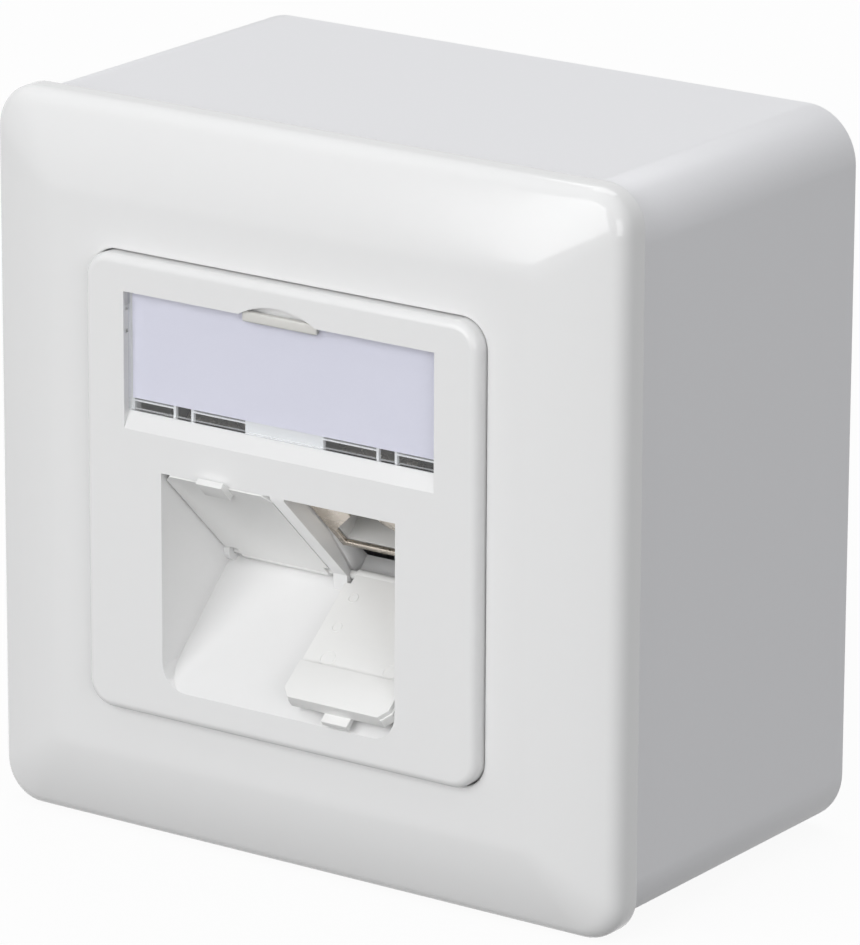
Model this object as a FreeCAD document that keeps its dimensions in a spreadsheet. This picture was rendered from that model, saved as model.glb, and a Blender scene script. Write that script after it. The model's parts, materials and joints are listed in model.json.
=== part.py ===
"""Surface mount jack box: an 80 mm back box, cover frame and centre plate with two angled ports.

+Z is up, -Y points out of the front and +X is to the right as seen from the front.
The origin is the centre of the back face, which lies on the wall. Lengths are in millimetres.
"""
import FreeCAD, Part
import math
import os

import Sketcher

SHEET = {
    # outer envelope
    "frame_width": 80.0,
    "frame_overhang": 0.4,
    "box_depth": 40.5,
    "frame_depth": 6.4,
    "plate_rise": 1.6,
    # surface box
    "box_wall": 2.2,
    "box_back": 2.4,
    "box_corner": 6.0,
    "wall_hole_spacing": 52.0,
    "wall_hole_radius": 2.2,
    "rear_entry_radius": 11.0,
    "rear_entry_height": 17.0,
    "knockout_width": 18.0,
    "knockout_depth": 16.0,
    "knockout_skin": 1.0,
    "pillar_spacing": 60.0,
    "pillar_radius": 3.6,
    "pillar_web": 1.6,
    "pilot_depth": 20.0,
    # cover frame
    "frame_corner": 4.5,
    "frame_wall": 2.2,
    "bevel_width": 9.83,
    "bevel_angle": 14.0,
    "crease_radius": 8.0,
    "rim_radius": 3.46,
    "flat_corner": 0.8,
    "ledge_depth": 0.9,
    "ledge_reach": 1.2,
    # centre plate
    "plate_width": 50.0,
    "plate_corner": 3.0,
    "plate_edge": 0.9,
    "plate_thickness": 2.0,
    "plate_gap": 0.15,
    "skirt_wall": 1.4,
    # label window
    "label_width": 39.6,
    "label_height": 13.1,
    "label_bottom": 8.2,
    "label_recess": 1.4,
    "label_floor": 1.6,
    "label_rim": 1.5,
    "lip_slope": 1.8,
    "lip_drop": 0.8,
    "scoop_chord": 9.8,
    "scoop_rise": 1.3,
    "paper_thickness": 0.15,
    "cover_thickness": 0.7,
    "label_fit": 0.15,
    "paper_foot": 1.35,
    "slot_inner": 5.0,
    "slot_middle": 13.0,
    "slot_outer": 19.4,
    "slot_bridge": 1.3,
    "slot_low": 0.1,
    "slot_height": 0.85,
    "slit_low": 1.12,
    "slit_height": 0.2,
    "catch_width": 2.0,
    "catch_depth": 1.0,
    "grip_width": 7.8,
    "grip_overlap": 0.85,
    "grip_rise": 0.25,
    # port recess
    "recess_width": 30.0,
    "recess_top": 2.2,
    "recess_bottom": -21.5,
    "recess_corner": 3.0,
    "post_width": 1.8,
    "hood_wall": 1.4,
    "hood_back": 3.0,
    "hood_front": 1.5,
    "hood_drop": 2.5,
    "floor_angle": 43.8,
    "floor_length": 15.7,
    # dust flaps
    "hinge_depth": 12.15,
    "hinge_height": -8.94,
    "port_angle": 44.3,
    "open_angle": 39.7,
    "port_lip": 0.43,
    "flap_thickness": 1.2,
    "flap_fit": 0.2,
    "flap_chamfer": 0.9,
    "flap_lip": 4.5,
    "lip_rise": 0.6,
    "tab_width": 3.3,
    "tab_length": 1.2,
    "tab_height": 0.7,
    "tab_sink": 0.1,
    "barrel_radius": 0.7,
    "barrel_clearance": 0.25,
    "boss_radius": 1.25,
    "boss_length": 0.7,
    "pin_radius": 0.45,
    "pin_fit": 0.05,
    "pin_length": 0.6,
    "cheek_notch": 1.9,
    "post_notch": 0.9,
    # jacks
    "jack_setback": 1.3,
    "jack_gap": 0.25,
    "jack_bottom": 4.1,
    "jack_height": 13.0,
    "jack_depth": 15.0,
    "sheet_metal": 0.4,
    "jack_slant": 3.9,
    "mouth_width": 11.9,
    "mouth_bottom": 5.0,
    "mouth_side": 2.5,
    "plug_height": 6.7,
    "latch_width": 3.9,
    "latch_height": 1.1,
    "cavity_depth": 12.4,
    "insert_fit": 0.1,
    "contact_pitch": 1.02,
    "contact_width": 0.36,
    "contact_start": 3.0,
    "contact_tail": 3.0,
    "contact_rise": 1.5,
    # module
    "casting_wall": 1.4,
    "casting_side": 2.1,
    "casting_fit": 0.3,
    "flange_side": 5.5,
    "flange_top": 21.0,
    "flange_bottom": -24.0,
    "flange_thickness": 2.0,
    "flange_screw_inset": 8.0,
    "board_thickness": 1.6,
    "block_height": 8.0,
    "terminal_pitch": 3.06,
    "terminal_row": 3.25,
    "terminal_slot": 5.1,
    "terminal_depth": 6.0,
    "blade_width": 3.06,
    "blade_length": 4.0,
    "lid_depth": 11.0,
    "lug_reach": 5.0,
    "lug_height": 5.0,
    "lug_thickness": 3.0,
    "lug_thread": 6.0,
    "entry_radius": 3.4,
    "clamp_height": 4.0,
    "clamp_thickness": 2.2,
    # support plate
    "support_width": 71.0,
    "support_thickness": 1.2,
    "support_corner": 4.0,
    "support_side": 1.8,
    "support_opening_top": 18.0,
    "support_opening_bottom": -22.6,
    "slot_length": 8.0,
    # screws
    "screw_radius": 1.5,
    "screw_head": 2.9,
    "small_screw": 1.1,
    "small_head": 2.0,
    "head_height": 1.2,
    "screw_fit": 0.1,
    "cross_arm": 0.6,
    "cross_half": 0.12,
    "support_screw_length": 13.5,
    "plate_screw_spacing": 28.0,
    "tower_radius": 2.6,
}


class Size:
    """A number together with the sheet expression that gives it."""

    def __init__(self, value, text):
        self.value = value
        self.text = text

    def __add__(self, other):
        other = as_size(other)
        return Size(self.value + other.value, f"({self.text} + {other.text})")

    def __sub__(self, other):
        other = as_size(other)
        return Size(self.value - other.value, f"({self.text} - {other.text})")

    def __mul__(self, other):
        other = as_size(other)
        return Size(self.value * other.value, f"({self.text} * {other.text})")

    def __truediv__(self, other):
        other = as_size(other)
        return Size(self.value / other.value, f"({self.text} / {other.text})")

    def __radd__(self, other):
        return as_size(other) + self

    def __rsub__(self, other):
        return as_size(other) - self

    def __rmul__(self, other):
        return as_size(other) * self

    def __neg__(self):
        return Size(-self.value, f"(-{self.text})")


def as_size(thing):
    return thing if isinstance(thing, Size) else Size(float(thing), f"({float(thing)})")


def sine(angle):
    return Size(math.sin(math.radians(angle.value)), f"sin({angle.text})")


def cosine(angle):
    return Size(math.cos(math.radians(angle.value)), f"cos({angle.text})")


doc = FreeCAD.newDocument("jack_box")
sheet = doc.addObject("Spreadsheet::Sheet", "Sizes")
sheet.Label = "Sizes"
for row, (alias, number) in enumerate(SHEET.items(), start=1):
    sheet.set(f"A{row}", alias)
    sheet.set(f"B{row}", str(number))
    sheet.setAlias(f"B{row}", alias)
doc.recompute()


class Sizes:
    """Each alias of the sheet as a Size attribute."""


for alias, number in SHEET.items():
    setattr(Sizes, alias, Size(number, f"Sizes.{alias}"))

s = Sizes
FRONT = s.box_depth + s.frame_depth + s.plate_rise
BOX_HALF = s.frame_width / 2 - s.frame_overhang
ZERO = as_size(0)


# --- sketches and features -------------------------------------------------------------------

def bind(feature, path, size):
    feature.setExpression(path, as_size(size).text)


def new_body(label, several=False):
    body = doc.addObject("PartDesign::Body", label)
    body.Label = label
    body.AllowCompound = several
    return body


def sketch_on(body, role, start=ZERO):
    """An empty sketch on one of the body's origin planes, moved along that plane's normal."""
    sketch = body.newObject("Sketcher::SketchObject", "Outline")
    plane = next(item for item in body.Origin.OriginFeatures if item.Role == role)
    sketch.AttachmentSupport = [(plane, "")]
    sketch.MapMode = "FlatFace"
    bind(sketch, "AttachmentOffset.Base.z", start)
    return sketch


def sketch_in_port(body, out):
    """An empty sketch parallel to the port plane: X across, Y to the flap's tip, normal outwards."""
    sketch = sketch_on(body, "XY_Plane")
    turned = FreeCAD.Rotation(FreeCAD.Vector(1, 0, 0), 90)
    sketch.AttachmentOffset = FreeCAD.Placement(FreeCAD.Vector(0, 0, 0), turned)
    y, z = port_point(ZERO, out)
    bind(sketch, "AttachmentOffset.Base.y", y)
    bind(sketch, "AttachmentOffset.Base.z", z)
    bind(sketch, "AttachmentOffset.Rotation.Angle", CLOSED)
    return sketch


def pin_point(sketch, geometry, position, across, up):
    """Holds a point of the sketch at two distances from the sketch's origin."""
    for kind, size in (("DistanceX", across), ("DistanceY", up)):
        size = as_size(size)
        constraint = Sketcher.Constraint(kind, -1, 1, geometry, position, size.value)
        index = sketch.addConstraint(constraint)
        sketch.setExpression(f"Constraints[{index}]", size.text)


def vector(across, up):
    return FreeCAD.Vector(as_size(across).value, as_size(up).value, 0)


def polygon(sketch, points):
    """A closed outline of straight edges through the points."""
    first = sketch.GeometryCount
    count = len(points)
    for index in range(count):
        following = (index + 1) % count
        sketch.addGeometry(Part.LineSegment(vector(*points[index]), vector(*points[following])))
    for index in range(count):
        following = first + (index + 1) % count
        sketch.addConstraint(Sketcher.Constraint("Coincident", first + index, 2, following, 1))
        pin_point(sketch, first + index, 1, *points[index])


def rectangle(sketch, left, right, bottom, top):
    polygon(sketch, [(left, bottom), (right, bottom), (right, top), (left, top)])


def circle(sketch, across, up, radius):
    radius = as_size(radius)
    index = sketch.addGeometry(Part.Circle(vector(across, up), FreeCAD.Vector(0, 0, 1), radius.value))
    pin_point(sketch, index, 3, across, up)
    constraint = sketch.addConstraint(Sketcher.Constraint("Radius", index, radius.value))
    sketch.setExpression(f"Constraints[{constraint}]", radius.text)


def rounded_rectangle(sketch, left, right, bottom, top, radius):
    """A rectangle with four equal round corners."""
    first = sketch.GeometryCount
    sides = [as_size(side) for side in (left, right, bottom, top)]
    x0, x1, y0, y1 = (side.value for side in sides)
    r = as_size(radius).value
    corners = [(x1 - r, y0 + r), (x1 - r, y1 - r), (x0 + r, y1 - r), (x0 + r, y0 + r)]
    lines = [((x0 + r, y0), (x1 - r, y0)), ((x1, y0 + r), (x1, y1 - r)),
             ((x1 - r, y1), (x0 + r, y1)), ((x0, y1 - r), (x0, y0 + r))]
    for turn, (line, corner) in enumerate(zip(lines, corners)):
        sketch.addGeometry(Part.LineSegment(vector(*line[0]), vector(*line[1])))
        round_corner = Part.Circle(vector(*corner), FreeCAD.Vector(0, 0, 1), r)
        begin = math.radians(90 * turn - 90)
        sketch.addGeometry(Part.ArcOfCircle(round_corner, begin, begin + math.pi / 2))
    for index in range(8):
        following = first + (index + 1) % 8
        sketch.addConstraint(Sketcher.Constraint("Tangent", first + index, 2, following, 1))
    for index, kind in ((0, "Horizontal"), (2, "Vertical"), (4, "Horizontal"), (6, "Vertical")):
        sketch.addConstraint(Sketcher.Constraint(kind, first + index))
    for index in (3, 5, 7):
        sketch.addConstraint(Sketcher.Constraint("Equal", first + 1, first + index))
    placed = [("DistanceX", 6, sides[0]), ("DistanceX", 2, sides[1]),
              ("DistanceY", 0, sides[2]), ("DistanceY", 4, sides[3])]
    for kind, index, size in placed:
        constraint = Sketcher.Constraint(kind, -1, 1, first + index, 1, size.value)
        number = sketch.addConstraint(constraint)
        sketch.setExpression(f"Constraints[{number}]", size.text)
    number = sketch.addConstraint(Sketcher.Constraint("Radius", first + 1, r))
    sketch.setExpression(f"Constraints[{number}]", as_size(radius).text)


def rounded_square(sketch, half, radius):
    rounded_rectangle(sketch, -half, half, -half, half, radius)


def pad(body, sketch, length):
    """Adds the sketch's outline, along the sketch's normal."""
    feature = body.newObject("PartDesign::Pad", "Pad")
    feature.Profile = sketch
    bind(feature, "Length", length)
    return feature


def cut(body, sketch, length):
    """Takes the sketch's outline away, along the sketch's normal."""
    feature = body.newObject("PartDesign::Pocket", "Pocket")
    feature.Profile = sketch
    feature.Reversed = True
    bind(feature, "Length", length)
    return feature


def round_edges(body, radius, chosen):
    """Fillets the edges of the body's last feature that the test picks."""
    doc.recompute()
    base = body.Tip
    names = [f"Edge{n}" for n, edge in enumerate(base.Shape.Edges, start=1) if chosen(edge)]
    feature = body.newObject("PartDesign::Fillet", "Fillet")
    feature.Base = (base, names)
    bind(feature, "Radius", radius)
    return feature


def place_in_port(body, angle, across=ZERO):
    """Turns a body built on the flap's hinge: local Y runs to the flap's tip, Z out of the port."""
    base = FreeCAD.Vector(0, 0, 0)
    body.Placement = FreeCAD.Placement(base, FreeCAD.Rotation(FreeCAD.Vector(1, 0, 0), 90))
    bind(body, "Placement.Base.x", across)
    bind(body, "Placement.Base.y", s.hinge_depth - FRONT)
    bind(body, "Placement.Base.z", s.hinge_height)
    bind(body, "Placement.Rotation.Angle", angle)


CLOSED = 180 - s.port_angle
OPEN = 180 + s.open_angle
PORT_CENTRE = (s.recess_width + s.post_width) / 4
PORT_HALF = (s.recess_width - s.post_width) / 4
PORT_LENGTH = s.hinge_depth / cosine(s.port_angle) - s.port_lip
JACK_HALF = PORT_HALF - s.jack_gap


def port_point(along, out):
    """A point of the YZ section, from its distances along the port plane and out of it."""
    y = s.hinge_depth - FRONT - along * cosine(s.port_angle) - out * sine(s.port_angle)
    z = s.hinge_height + along * sine(s.port_angle) - out * cosine(s.port_angle)
    return y, z


def floor_point(along, below=0):
    """A point of the YZ section on the recess floor, or below it, from the plate's front."""
    y = along * cosine(s.floor_angle) - FRONT + below * sine(s.floor_angle)
    z = s.recess_bottom + along * sine(s.floor_angle) - below * cosine(s.floor_angle)
    return y, z


# --- surface box -----------------------------------------------------------------------------

def surface_box():
    body = new_body("surface_box")
    half = BOX_HALF
    outer = sketch_on(body, "XZ_Plane")
    rounded_square(outer, half, s.box_corner)
    pad(body, outer, s.box_depth)
    hollow = sketch_on(body, "XZ_Plane", s.box_back)
    rounded_square(hollow, half - s.box_wall, s.box_corner - s.box_wall)
    cut(body, hollow, s.box_depth - s.box_back)
    pillars = sketch_on(body, "XZ_Plane")
    webs = sketch_on(body, "XZ_Plane")
    for side in (-1, 1):
        circle(pillars, side * s.pillar_spacing / 2, 0, s.pillar_radius)
        inner = side * (s.pillar_spacing / 2 + s.pillar_radius - s.pillar_web / 2)
        outer_end = side * (half - s.box_wall / 2)
        low, high = (outer_end, inner) if side < 0 else (inner, outer_end)
        rectangle(webs, low, high, -s.pillar_web / 2, s.pillar_web / 2)
    pad(body, pillars, s.box_depth)
    pad(body, webs, s.box_depth - s.box_wall)
    pilots = sketch_on(body, "XZ_Plane", s.box_depth - s.pilot_depth)
    holes = sketch_on(body, "XZ_Plane")
    for side in (-1, 1):
        circle(pilots, side * s.pillar_spacing / 2, 0, s.screw_radius + s.screw_fit / 2)
        for level in (-1, 1):
            across = side * s.wall_hole_spacing / 2
            circle(holes, across, level * s.wall_hole_spacing / 2, s.wall_hole_radius)
    cut(body, pilots, s.pilot_depth)
    circle(holes, 0, s.rear_entry_height, s.rear_entry_radius)
    cut(body, holes, s.box_back)
    knockout = sketch_on(body, "XZ_Plane", s.box_depth / 2 - s.knockout_depth / 2)
    rectangle(knockout, -s.knockout_width / 2, s.knockout_width / 2,
              s.knockout_skin - half, s.box_wall - half)
    cut(body, knockout, s.knockout_depth)
    return body


# --- cover frame -----------------------------------------------------------------------------

# How far round the crease and the rim's edge a section of the loft lies.
ARC_SHARES = (0.35, 0.7, 1.0)


def cover_frame():
    """The rim's straight wall and round edge, then a slope that meets the flat in a soft crease."""
    body = new_body("cover_frame")
    half = s.frame_width / 2
    flat = s.box_depth + s.frame_depth
    steps = [(half - s.bevel_width, flat)]
    for share in ARC_SHARES:
        turned = share * s.bevel_angle
        across = half - s.bevel_width + s.crease_radius * sine(turned)
        steps.append((across, flat - s.crease_radius * (1 - cosine(turned))))
    crease_end, crease_depth = steps[-1]
    slope_end = half - s.rim_radius * (1 - sine(s.bevel_angle))
    slope_depth = crease_depth - (slope_end - crease_end) * sine(s.bevel_angle) / cosine(s.bevel_angle)
    steps.append((slope_end, slope_depth))
    rim_top = slope_depth - s.rim_radius * cosine(s.bevel_angle)
    for share in ARC_SHARES:
        turned = s.bevel_angle + share * (90 - s.bevel_angle)
        across = half - s.rim_radius * (1 - sine(turned))
        steps.append((across, rim_top + s.rim_radius * cosine(turned)))
    sections = []
    for across, depth in reversed(steps):
        section = sketch_on(body, "XZ_Plane", depth)
        inset = (half - across) / s.bevel_width
        rounded_square(section, across, s.frame_corner - (s.frame_corner - s.flat_corner) * inset)
        sections.append(section)
    loft = body.newObject("PartDesign::AdditiveLoft", "Bevel")
    loft.Profile = sections[0]
    loft.Sections = sections[1:]
    rim = sketch_on(body, "XZ_Plane", s.box_depth)
    rounded_square(rim, half, s.frame_corner)
    pad(body, rim, rim_top - s.box_depth)
    window = s.plate_width / 2 + s.plate_gap
    plate_back = flat - s.frame_wall
    ring_end = s.box_depth + s.support_thickness + s.screw_fit
    wide = sketch_on(body, "XZ_Plane", s.box_depth)
    rounded_square(wide, half - s.frame_wall, s.frame_corner - s.frame_wall)
    cut(body, wide, s.frame_wall)
    deep = sketch_on(body, "XZ_Plane", s.box_depth)
    rounded_square(deep, s.pillar_spacing / 2 + s.screw_head + s.casting_fit, s.flat_corner)
    cut(body, deep, plate_back - s.box_depth)
    ring = sketch_on(body, "XZ_Plane", ring_end)
    rounded_square(ring, window + s.skirt_wall, s.plate_corner + s.skirt_wall)
    pad(body, ring, plate_back - ring_end)
    opening = sketch_on(body, "XZ_Plane", ring_end + s.ledge_depth)
    rounded_square(opening, window, s.plate_corner + s.plate_gap)
    cut(body, opening, flat - ring_end - s.ledge_depth)
    ledge = sketch_on(body, "XZ_Plane", ring_end)
    rounded_square(ledge, window - s.ledge_reach, s.plate_corner)
    cut(body, ledge, s.ledge_depth)
    return body


# --- centre plate ----------------------------------------------------------------------------

def hood_outline():
    """The outer section of the moulded hood behind the ports, in the YZ plane."""
    slab = s.hood_front - FRONT
    top = s.recess_top + s.post_width / 2
    hood_top = s.hood_wall - FRONT + s.plate_thickness
    return [(slab, top), (hood_top, top), port_point(-s.hood_drop, -s.hood_back),
            floor_point(s.floor_length + s.flap_fit, s.hood_wall),
            floor_point(ZERO, s.hood_wall)]


def centre_plate():
    body = new_body("centre_plate")
    half = s.plate_width / 2
    ring_end = s.box_depth + s.support_thickness + s.screw_fit
    skirt_end = ring_end + s.ledge_depth + s.screw_fit / 2
    face = sketch_on(body, "XZ_Plane", FRONT - s.plate_thickness)
    rounded_square(face, half, s.plate_corner)
    pad(body, face, s.plate_thickness)
    round_edges(body, s.plate_edge, lambda edge: edge.BoundBox.YMax < -FRONT.value + 0.001)
    skirt = sketch_on(body, "XZ_Plane", skirt_end)
    rounded_square(skirt, half, s.plate_corner)
    rounded_square(skirt, half - s.skirt_wall, s.plate_corner - s.skirt_wall)
    pad(body, skirt, FRONT - s.plate_thickness - skirt_end)
    backing = sketch_on(body, "XZ_Plane", FRONT - s.label_recess - s.label_floor)
    rectangle(backing, -s.label_width / 2 - s.label_rim, s.label_width / 2 + s.label_rim,
              s.label_bottom - s.label_rim, s.label_bottom + s.label_height + s.label_rim)
    pad(body, backing, s.label_floor)
    hood = sketch_on(body, "YZ_Plane", -s.recess_width / 2 - s.hood_wall)
    polygon(hood, hood_outline())
    pad(body, hood, s.recess_width + 2 * s.hood_wall)
    cut_label_window(body)
    cut_label_slots(body)
    cut_recess(body)
    round_lower_corners(body)
    add_hinge_bosses(body)
    return body


def cut_label_window(body):
    window = sketch_on(body, "XZ_Plane", FRONT - s.label_recess)
    top = s.label_bottom + s.label_height
    rectangle(window, -s.label_width / 2, s.label_width / 2, s.label_bottom, top)
    cut(body, window, s.label_recess)
    slope = sketch_on(body, "YZ_Plane", -s.label_width / 2)
    polygon(slope, [(-FRONT, s.label_bottom - s.lip_slope), (s.lip_drop - FRONT, s.label_bottom),
                    (-FRONT, s.label_bottom)])
    cut(body, slope, s.label_width)
    scoop = sketch_on(body, "XZ_Plane", FRONT - s.label_recess)
    chord, rise = s.scoop_chord / 2, s.scoop_rise
    left, right = vector(-chord, top), vector(chord, top)
    radius = (chord * chord + rise * rise) / (2 * rise)
    scoop.addGeometry(Part.Arc(right, vector(0, top + rise), left))
    scoop.addGeometry(Part.LineSegment(left, right))
    scoop.addConstraint(Sketcher.Constraint("Coincident", 0, 2, 1, 1))
    scoop.addConstraint(Sketcher.Constraint("Coincident", 1, 2, 0, 1))
    pin_point(scoop, 1, 1, -chord, top)
    pin_point(scoop, 1, 2, chord, top)
    number = scoop.addConstraint(Sketcher.Constraint("Radius", 0, radius.value))
    scoop.setExpression(f"Constraints[{number}]", radius.text)
    cut(body, scoop, s.label_recess)
    for radius, start, depth in (
            (s.small_screw + s.screw_fit, FRONT - s.label_recess - s.label_floor, s.label_floor),
            (s.small_head + s.screw_fit, FRONT - s.label_recess - s.head_height, s.head_height)):
        holes = sketch_on(body, "XZ_Plane", start)
        for side in (-1, 1):
            middle = s.label_bottom + s.label_height / 2
            circle(holes, side * s.plate_screw_spacing / 2, middle, radius)
        cut(body, holes, depth)


def cut_label_slots(body):
    """The openings along the foot of the window that the cover's catches go into."""
    slots = sketch_on(body, "XZ_Plane", FRONT - s.label_recess - s.label_floor)
    catches = sketch_on(body, "XZ_Plane", FRONT - s.label_recess - s.catch_depth)
    for side in (-1, 1):
        spans = [(s.slot_inner, s.slot_middle - s.slot_bridge),
                 (s.slot_middle + s.slot_bridge, s.slot_outer)]
        for inner, outer in spans:
            left, right = (inner, outer) if side > 0 else (-outer, -inner)
            for low, height in ((s.slot_low, s.slot_height), (s.slit_low, s.slit_height)):
                bottom = s.label_bottom + low
                rectangle(slots, left, right, bottom, bottom + height)
        middle = side * s.slot_middle
        rectangle(catches, middle - s.catch_width / 2, middle + s.catch_width / 2,
                  s.label_bottom + s.slot_low, s.label_bottom + s.slit_low + s.slit_height)
    cut(body, slots, s.label_floor)
    cut(body, catches, s.catch_depth)


def cut_recess(body):
    """The V-shaped space in front of the ports, then each port's opening and hinge trough."""
    mouth = sketch_on(body, "YZ_Plane", -s.recess_width / 2)
    polygon(mouth, [floor_point(-s.plate_rise), floor_point(s.floor_length),
                    port_point(s.barrel_radius, s.flap_thickness / 2),
                    port_point(PORT_LENGTH, s.flap_thickness / 2),
                    port_point(PORT_LENGTH, s.jack_setback)])
    cut(body, mouth, s.recess_width)
    trough = s.barrel_radius + s.barrel_clearance
    for start in (-s.recess_width / 2, s.post_width / 2):
        port = sketch_on(body, "YZ_Plane", start)
        polygon(port, [port_point(PORT_LENGTH, s.jack_setback),
                       port_point(PORT_LENGTH, -s.hood_back - s.hood_wall),
                       port_point(-trough, -s.hood_back - s.hood_wall),
                       port_point(-trough, 0),
                       floor_point(s.floor_length),
                       port_point(s.barrel_radius, s.jack_setback)])
        cut(body, port, 2 * PORT_HALF)


def round_lower_corners(body):
    """Fills the two lower corners of the recess to a quarter round, back to the sloping floor."""
    depth = 2 * s.hood_wall
    radius = s.recess_corner
    overlap = s.hood_wall / 2
    for side in (-1, 1):
        corner = sketch_on(body, "XZ_Plane", FRONT - s.plate_thickness - depth)
        wall = side * s.recess_width / 2
        centre = (wall - side * radius, s.recess_bottom + radius)
        reach = radius * math.sqrt(0.5)
        middle = (centre[0] + side * reach, centre[1] - reach)
        below = (centre[0], s.recess_bottom)
        beside = (wall, centre[1])
        outer = [below, (centre[0], s.recess_bottom - overlap),
                 (wall + side * overlap, s.recess_bottom - overlap),
                 (wall + side * overlap, centre[1]), beside]
        for start, end in zip(outer, outer[1:]):
            corner.addGeometry(Part.LineSegment(vector(*start), vector(*end)))
        corner.addGeometry(Part.Arc(vector(*beside), vector(*middle), vector(*below)))
        count = len(outer)
        low, high = (1, 2) if side < 0 else (2, 1)
        for index in range(count - 2):
            corner.addConstraint(Sketcher.Constraint("Coincident", index, 2, index + 1, 1))
        corner.addConstraint(Sketcher.Constraint("Coincident", count - 2, 2, count - 1, low))
        corner.addConstraint(Sketcher.Constraint("Coincident", count - 1, high, 0, 1))
        for index, point in enumerate(outer[:-1]):
            pin_point(corner, index, 1, *point)
        pin_point(corner, count - 2, 2, *beside)
        number = corner.addConstraint(Sketcher.Constraint("Radius", count - 1, radius.value))
        corner.setExpression(f"Constraints[{number}]", radius.text)
        pad(body, corner, depth + s.plate_thickness)


def add_hinge_bosses(body):
    """Bosses on the recess's side walls, and a round socket for each end of each hinge pin."""
    hinge = port_point(ZERO, ZERO)
    socket = s.pin_radius + s.pin_fit
    for start in (-s.recess_width / 2 - s.hood_wall / 2,
                  s.recess_width / 2 - s.boss_length):
        boss = sketch_on(body, "YZ_Plane", start)
        circle(boss, *hinge, s.boss_radius)
        pad(body, boss, s.boss_length + s.hood_wall / 2)
    reach = s.pin_length + s.pin_fit
    wall = s.recess_width / 2
    starts = [(s.boss_length - wall - reach, reach), (-s.post_width / 2, reach),
              (s.post_width / 2 - reach, reach), (wall - s.boss_length, reach)]
    for start, depth in starts:
        hole = sketch_on(body, "YZ_Plane", start)
        circle(hole, *hinge, socket)
        cut(body, hole, depth)


# --- label -----------------------------------------------------------------------------------

def label_piece(label, inset, foot, start, thickness):
    body = new_body(label)
    outline = sketch_on(body, "XZ_Plane", start)
    half = s.label_width / 2 - inset
    rectangle(outline, -half, half, s.label_bottom + foot, s.label_bottom + s.label_height - inset)
    pad(body, outline, thickness)
    return body


def label_paper():
    return label_piece("label_paper", 2 * s.label_fit, s.paper_foot, FRONT - s.label_recess,
                       s.paper_thickness)


def label_cover():
    """The clear cover, with a finger lip that stands in the scoop above the window."""
    start = FRONT - s.label_recess + s.paper_thickness
    body = label_piece("label_cover", s.label_fit, s.label_fit, start, s.cover_thickness)
    grip = sketch_on(body, "XZ_Plane", start)
    top = s.label_bottom + s.label_height
    rectangle(grip, -s.grip_width / 2, s.grip_width / 2, top - s.grip_overlap, top + s.grip_rise)
    pad(body, grip, s.label_recess - s.paper_thickness)
    return body


# --- dust flaps ------------------------------------------------------------------------------

def dust_flap(label, side, angle):
    """A flap on its hinge axis. side is -1 for the left port and 1 for the right one."""
    body = new_body(label)
    half = PORT_HALF - s.flap_fit
    thick = s.flap_thickness / 2
    tip = PORT_LENGTH - s.flap_fit
    panel = sketch_on(body, "XY_Plane", -thick)
    bevel = s.flap_chamfer
    cheek = side * (PORT_HALF - s.cheek_notch)
    post = -side * (PORT_HALF - s.post_notch)
    left, right = (cheek, post) if side < 0 else (post, cheek)
    step = s.boss_radius + s.flap_fit
    polygon(panel, [(left, 0), (right, 0), (right, step), (half, step), (half, tip - bevel),
                    (half - bevel, tip), (bevel - half, tip), (-half, tip - bevel),
                    (-half, step), (left, step)])
    pad(body, panel, s.flap_thickness)
    lip = sketch_on(body, "XY_Plane", -thick - s.lip_rise)
    lip_half = half - s.flap_fit
    polygon(lip, [(-lip_half, tip - s.flap_lip), (lip_half, tip - s.flap_lip),
                  (lip_half, tip - bevel), (lip_half - bevel, tip), (bevel - lip_half, tip),
                  (-lip_half, tip - bevel)])
    pad(body, lip, s.lip_rise)
    tab = sketch_on(body, "XY_Plane", thick - s.tab_sink)
    rectangle(tab, -s.tab_width / 2, s.tab_width / 2, tip - s.tab_length, tip + s.tab_length)
    pad(body, tab, s.tab_height)
    barrel = sketch_on(body, "YZ_Plane", left)
    circle(barrel, 0, 0, s.barrel_radius)
    pad(body, barrel, right - left)
    pin = sketch_on(body, "YZ_Plane", -PORT_HALF + (s.boss_length if side < 0 else ZERO) - s.pin_length)
    circle(pin, 0, 0, s.pin_radius)
    pad(body, pin, 2 * PORT_HALF - s.boss_length + 2 * s.pin_length)
    place_in_port(body, angle, side * PORT_CENTRE)
    return body


# --- jacks -----------------------------------------------------------------------------------

def jack_side(inset, front, back):
    """The side outline of a jack: its front top corner is cut off behind the centre plate."""
    bottom = s.jack_bottom + inset
    top = s.jack_bottom + s.jack_height - inset
    return [(bottom, -front), (top - s.jack_slant, -front), (top, -front - s.jack_slant),
            (top, -back), (bottom, -back)]


def mouth_outline(shoulder):
    """The plug's opening, with the slot for its latch above. Above the shoulder the sheet metal's
    two grounding tabs slope in to the slot."""
    half = s.mouth_width / 2
    slot = s.latch_width / 2
    bottom = s.mouth_bottom
    eaves = bottom + s.plug_height
    roof = eaves + s.latch_height
    return [(-half, bottom), (half, bottom), (half, bottom + shoulder), (slot, eaves), (slot, roof),
            (-slot, roof), (-slot, eaves), (-half, bottom + shoulder)]


CONTACTS = 8
CONTACT_LEVEL = s.mouth_bottom + s.plug_height / 2


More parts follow.
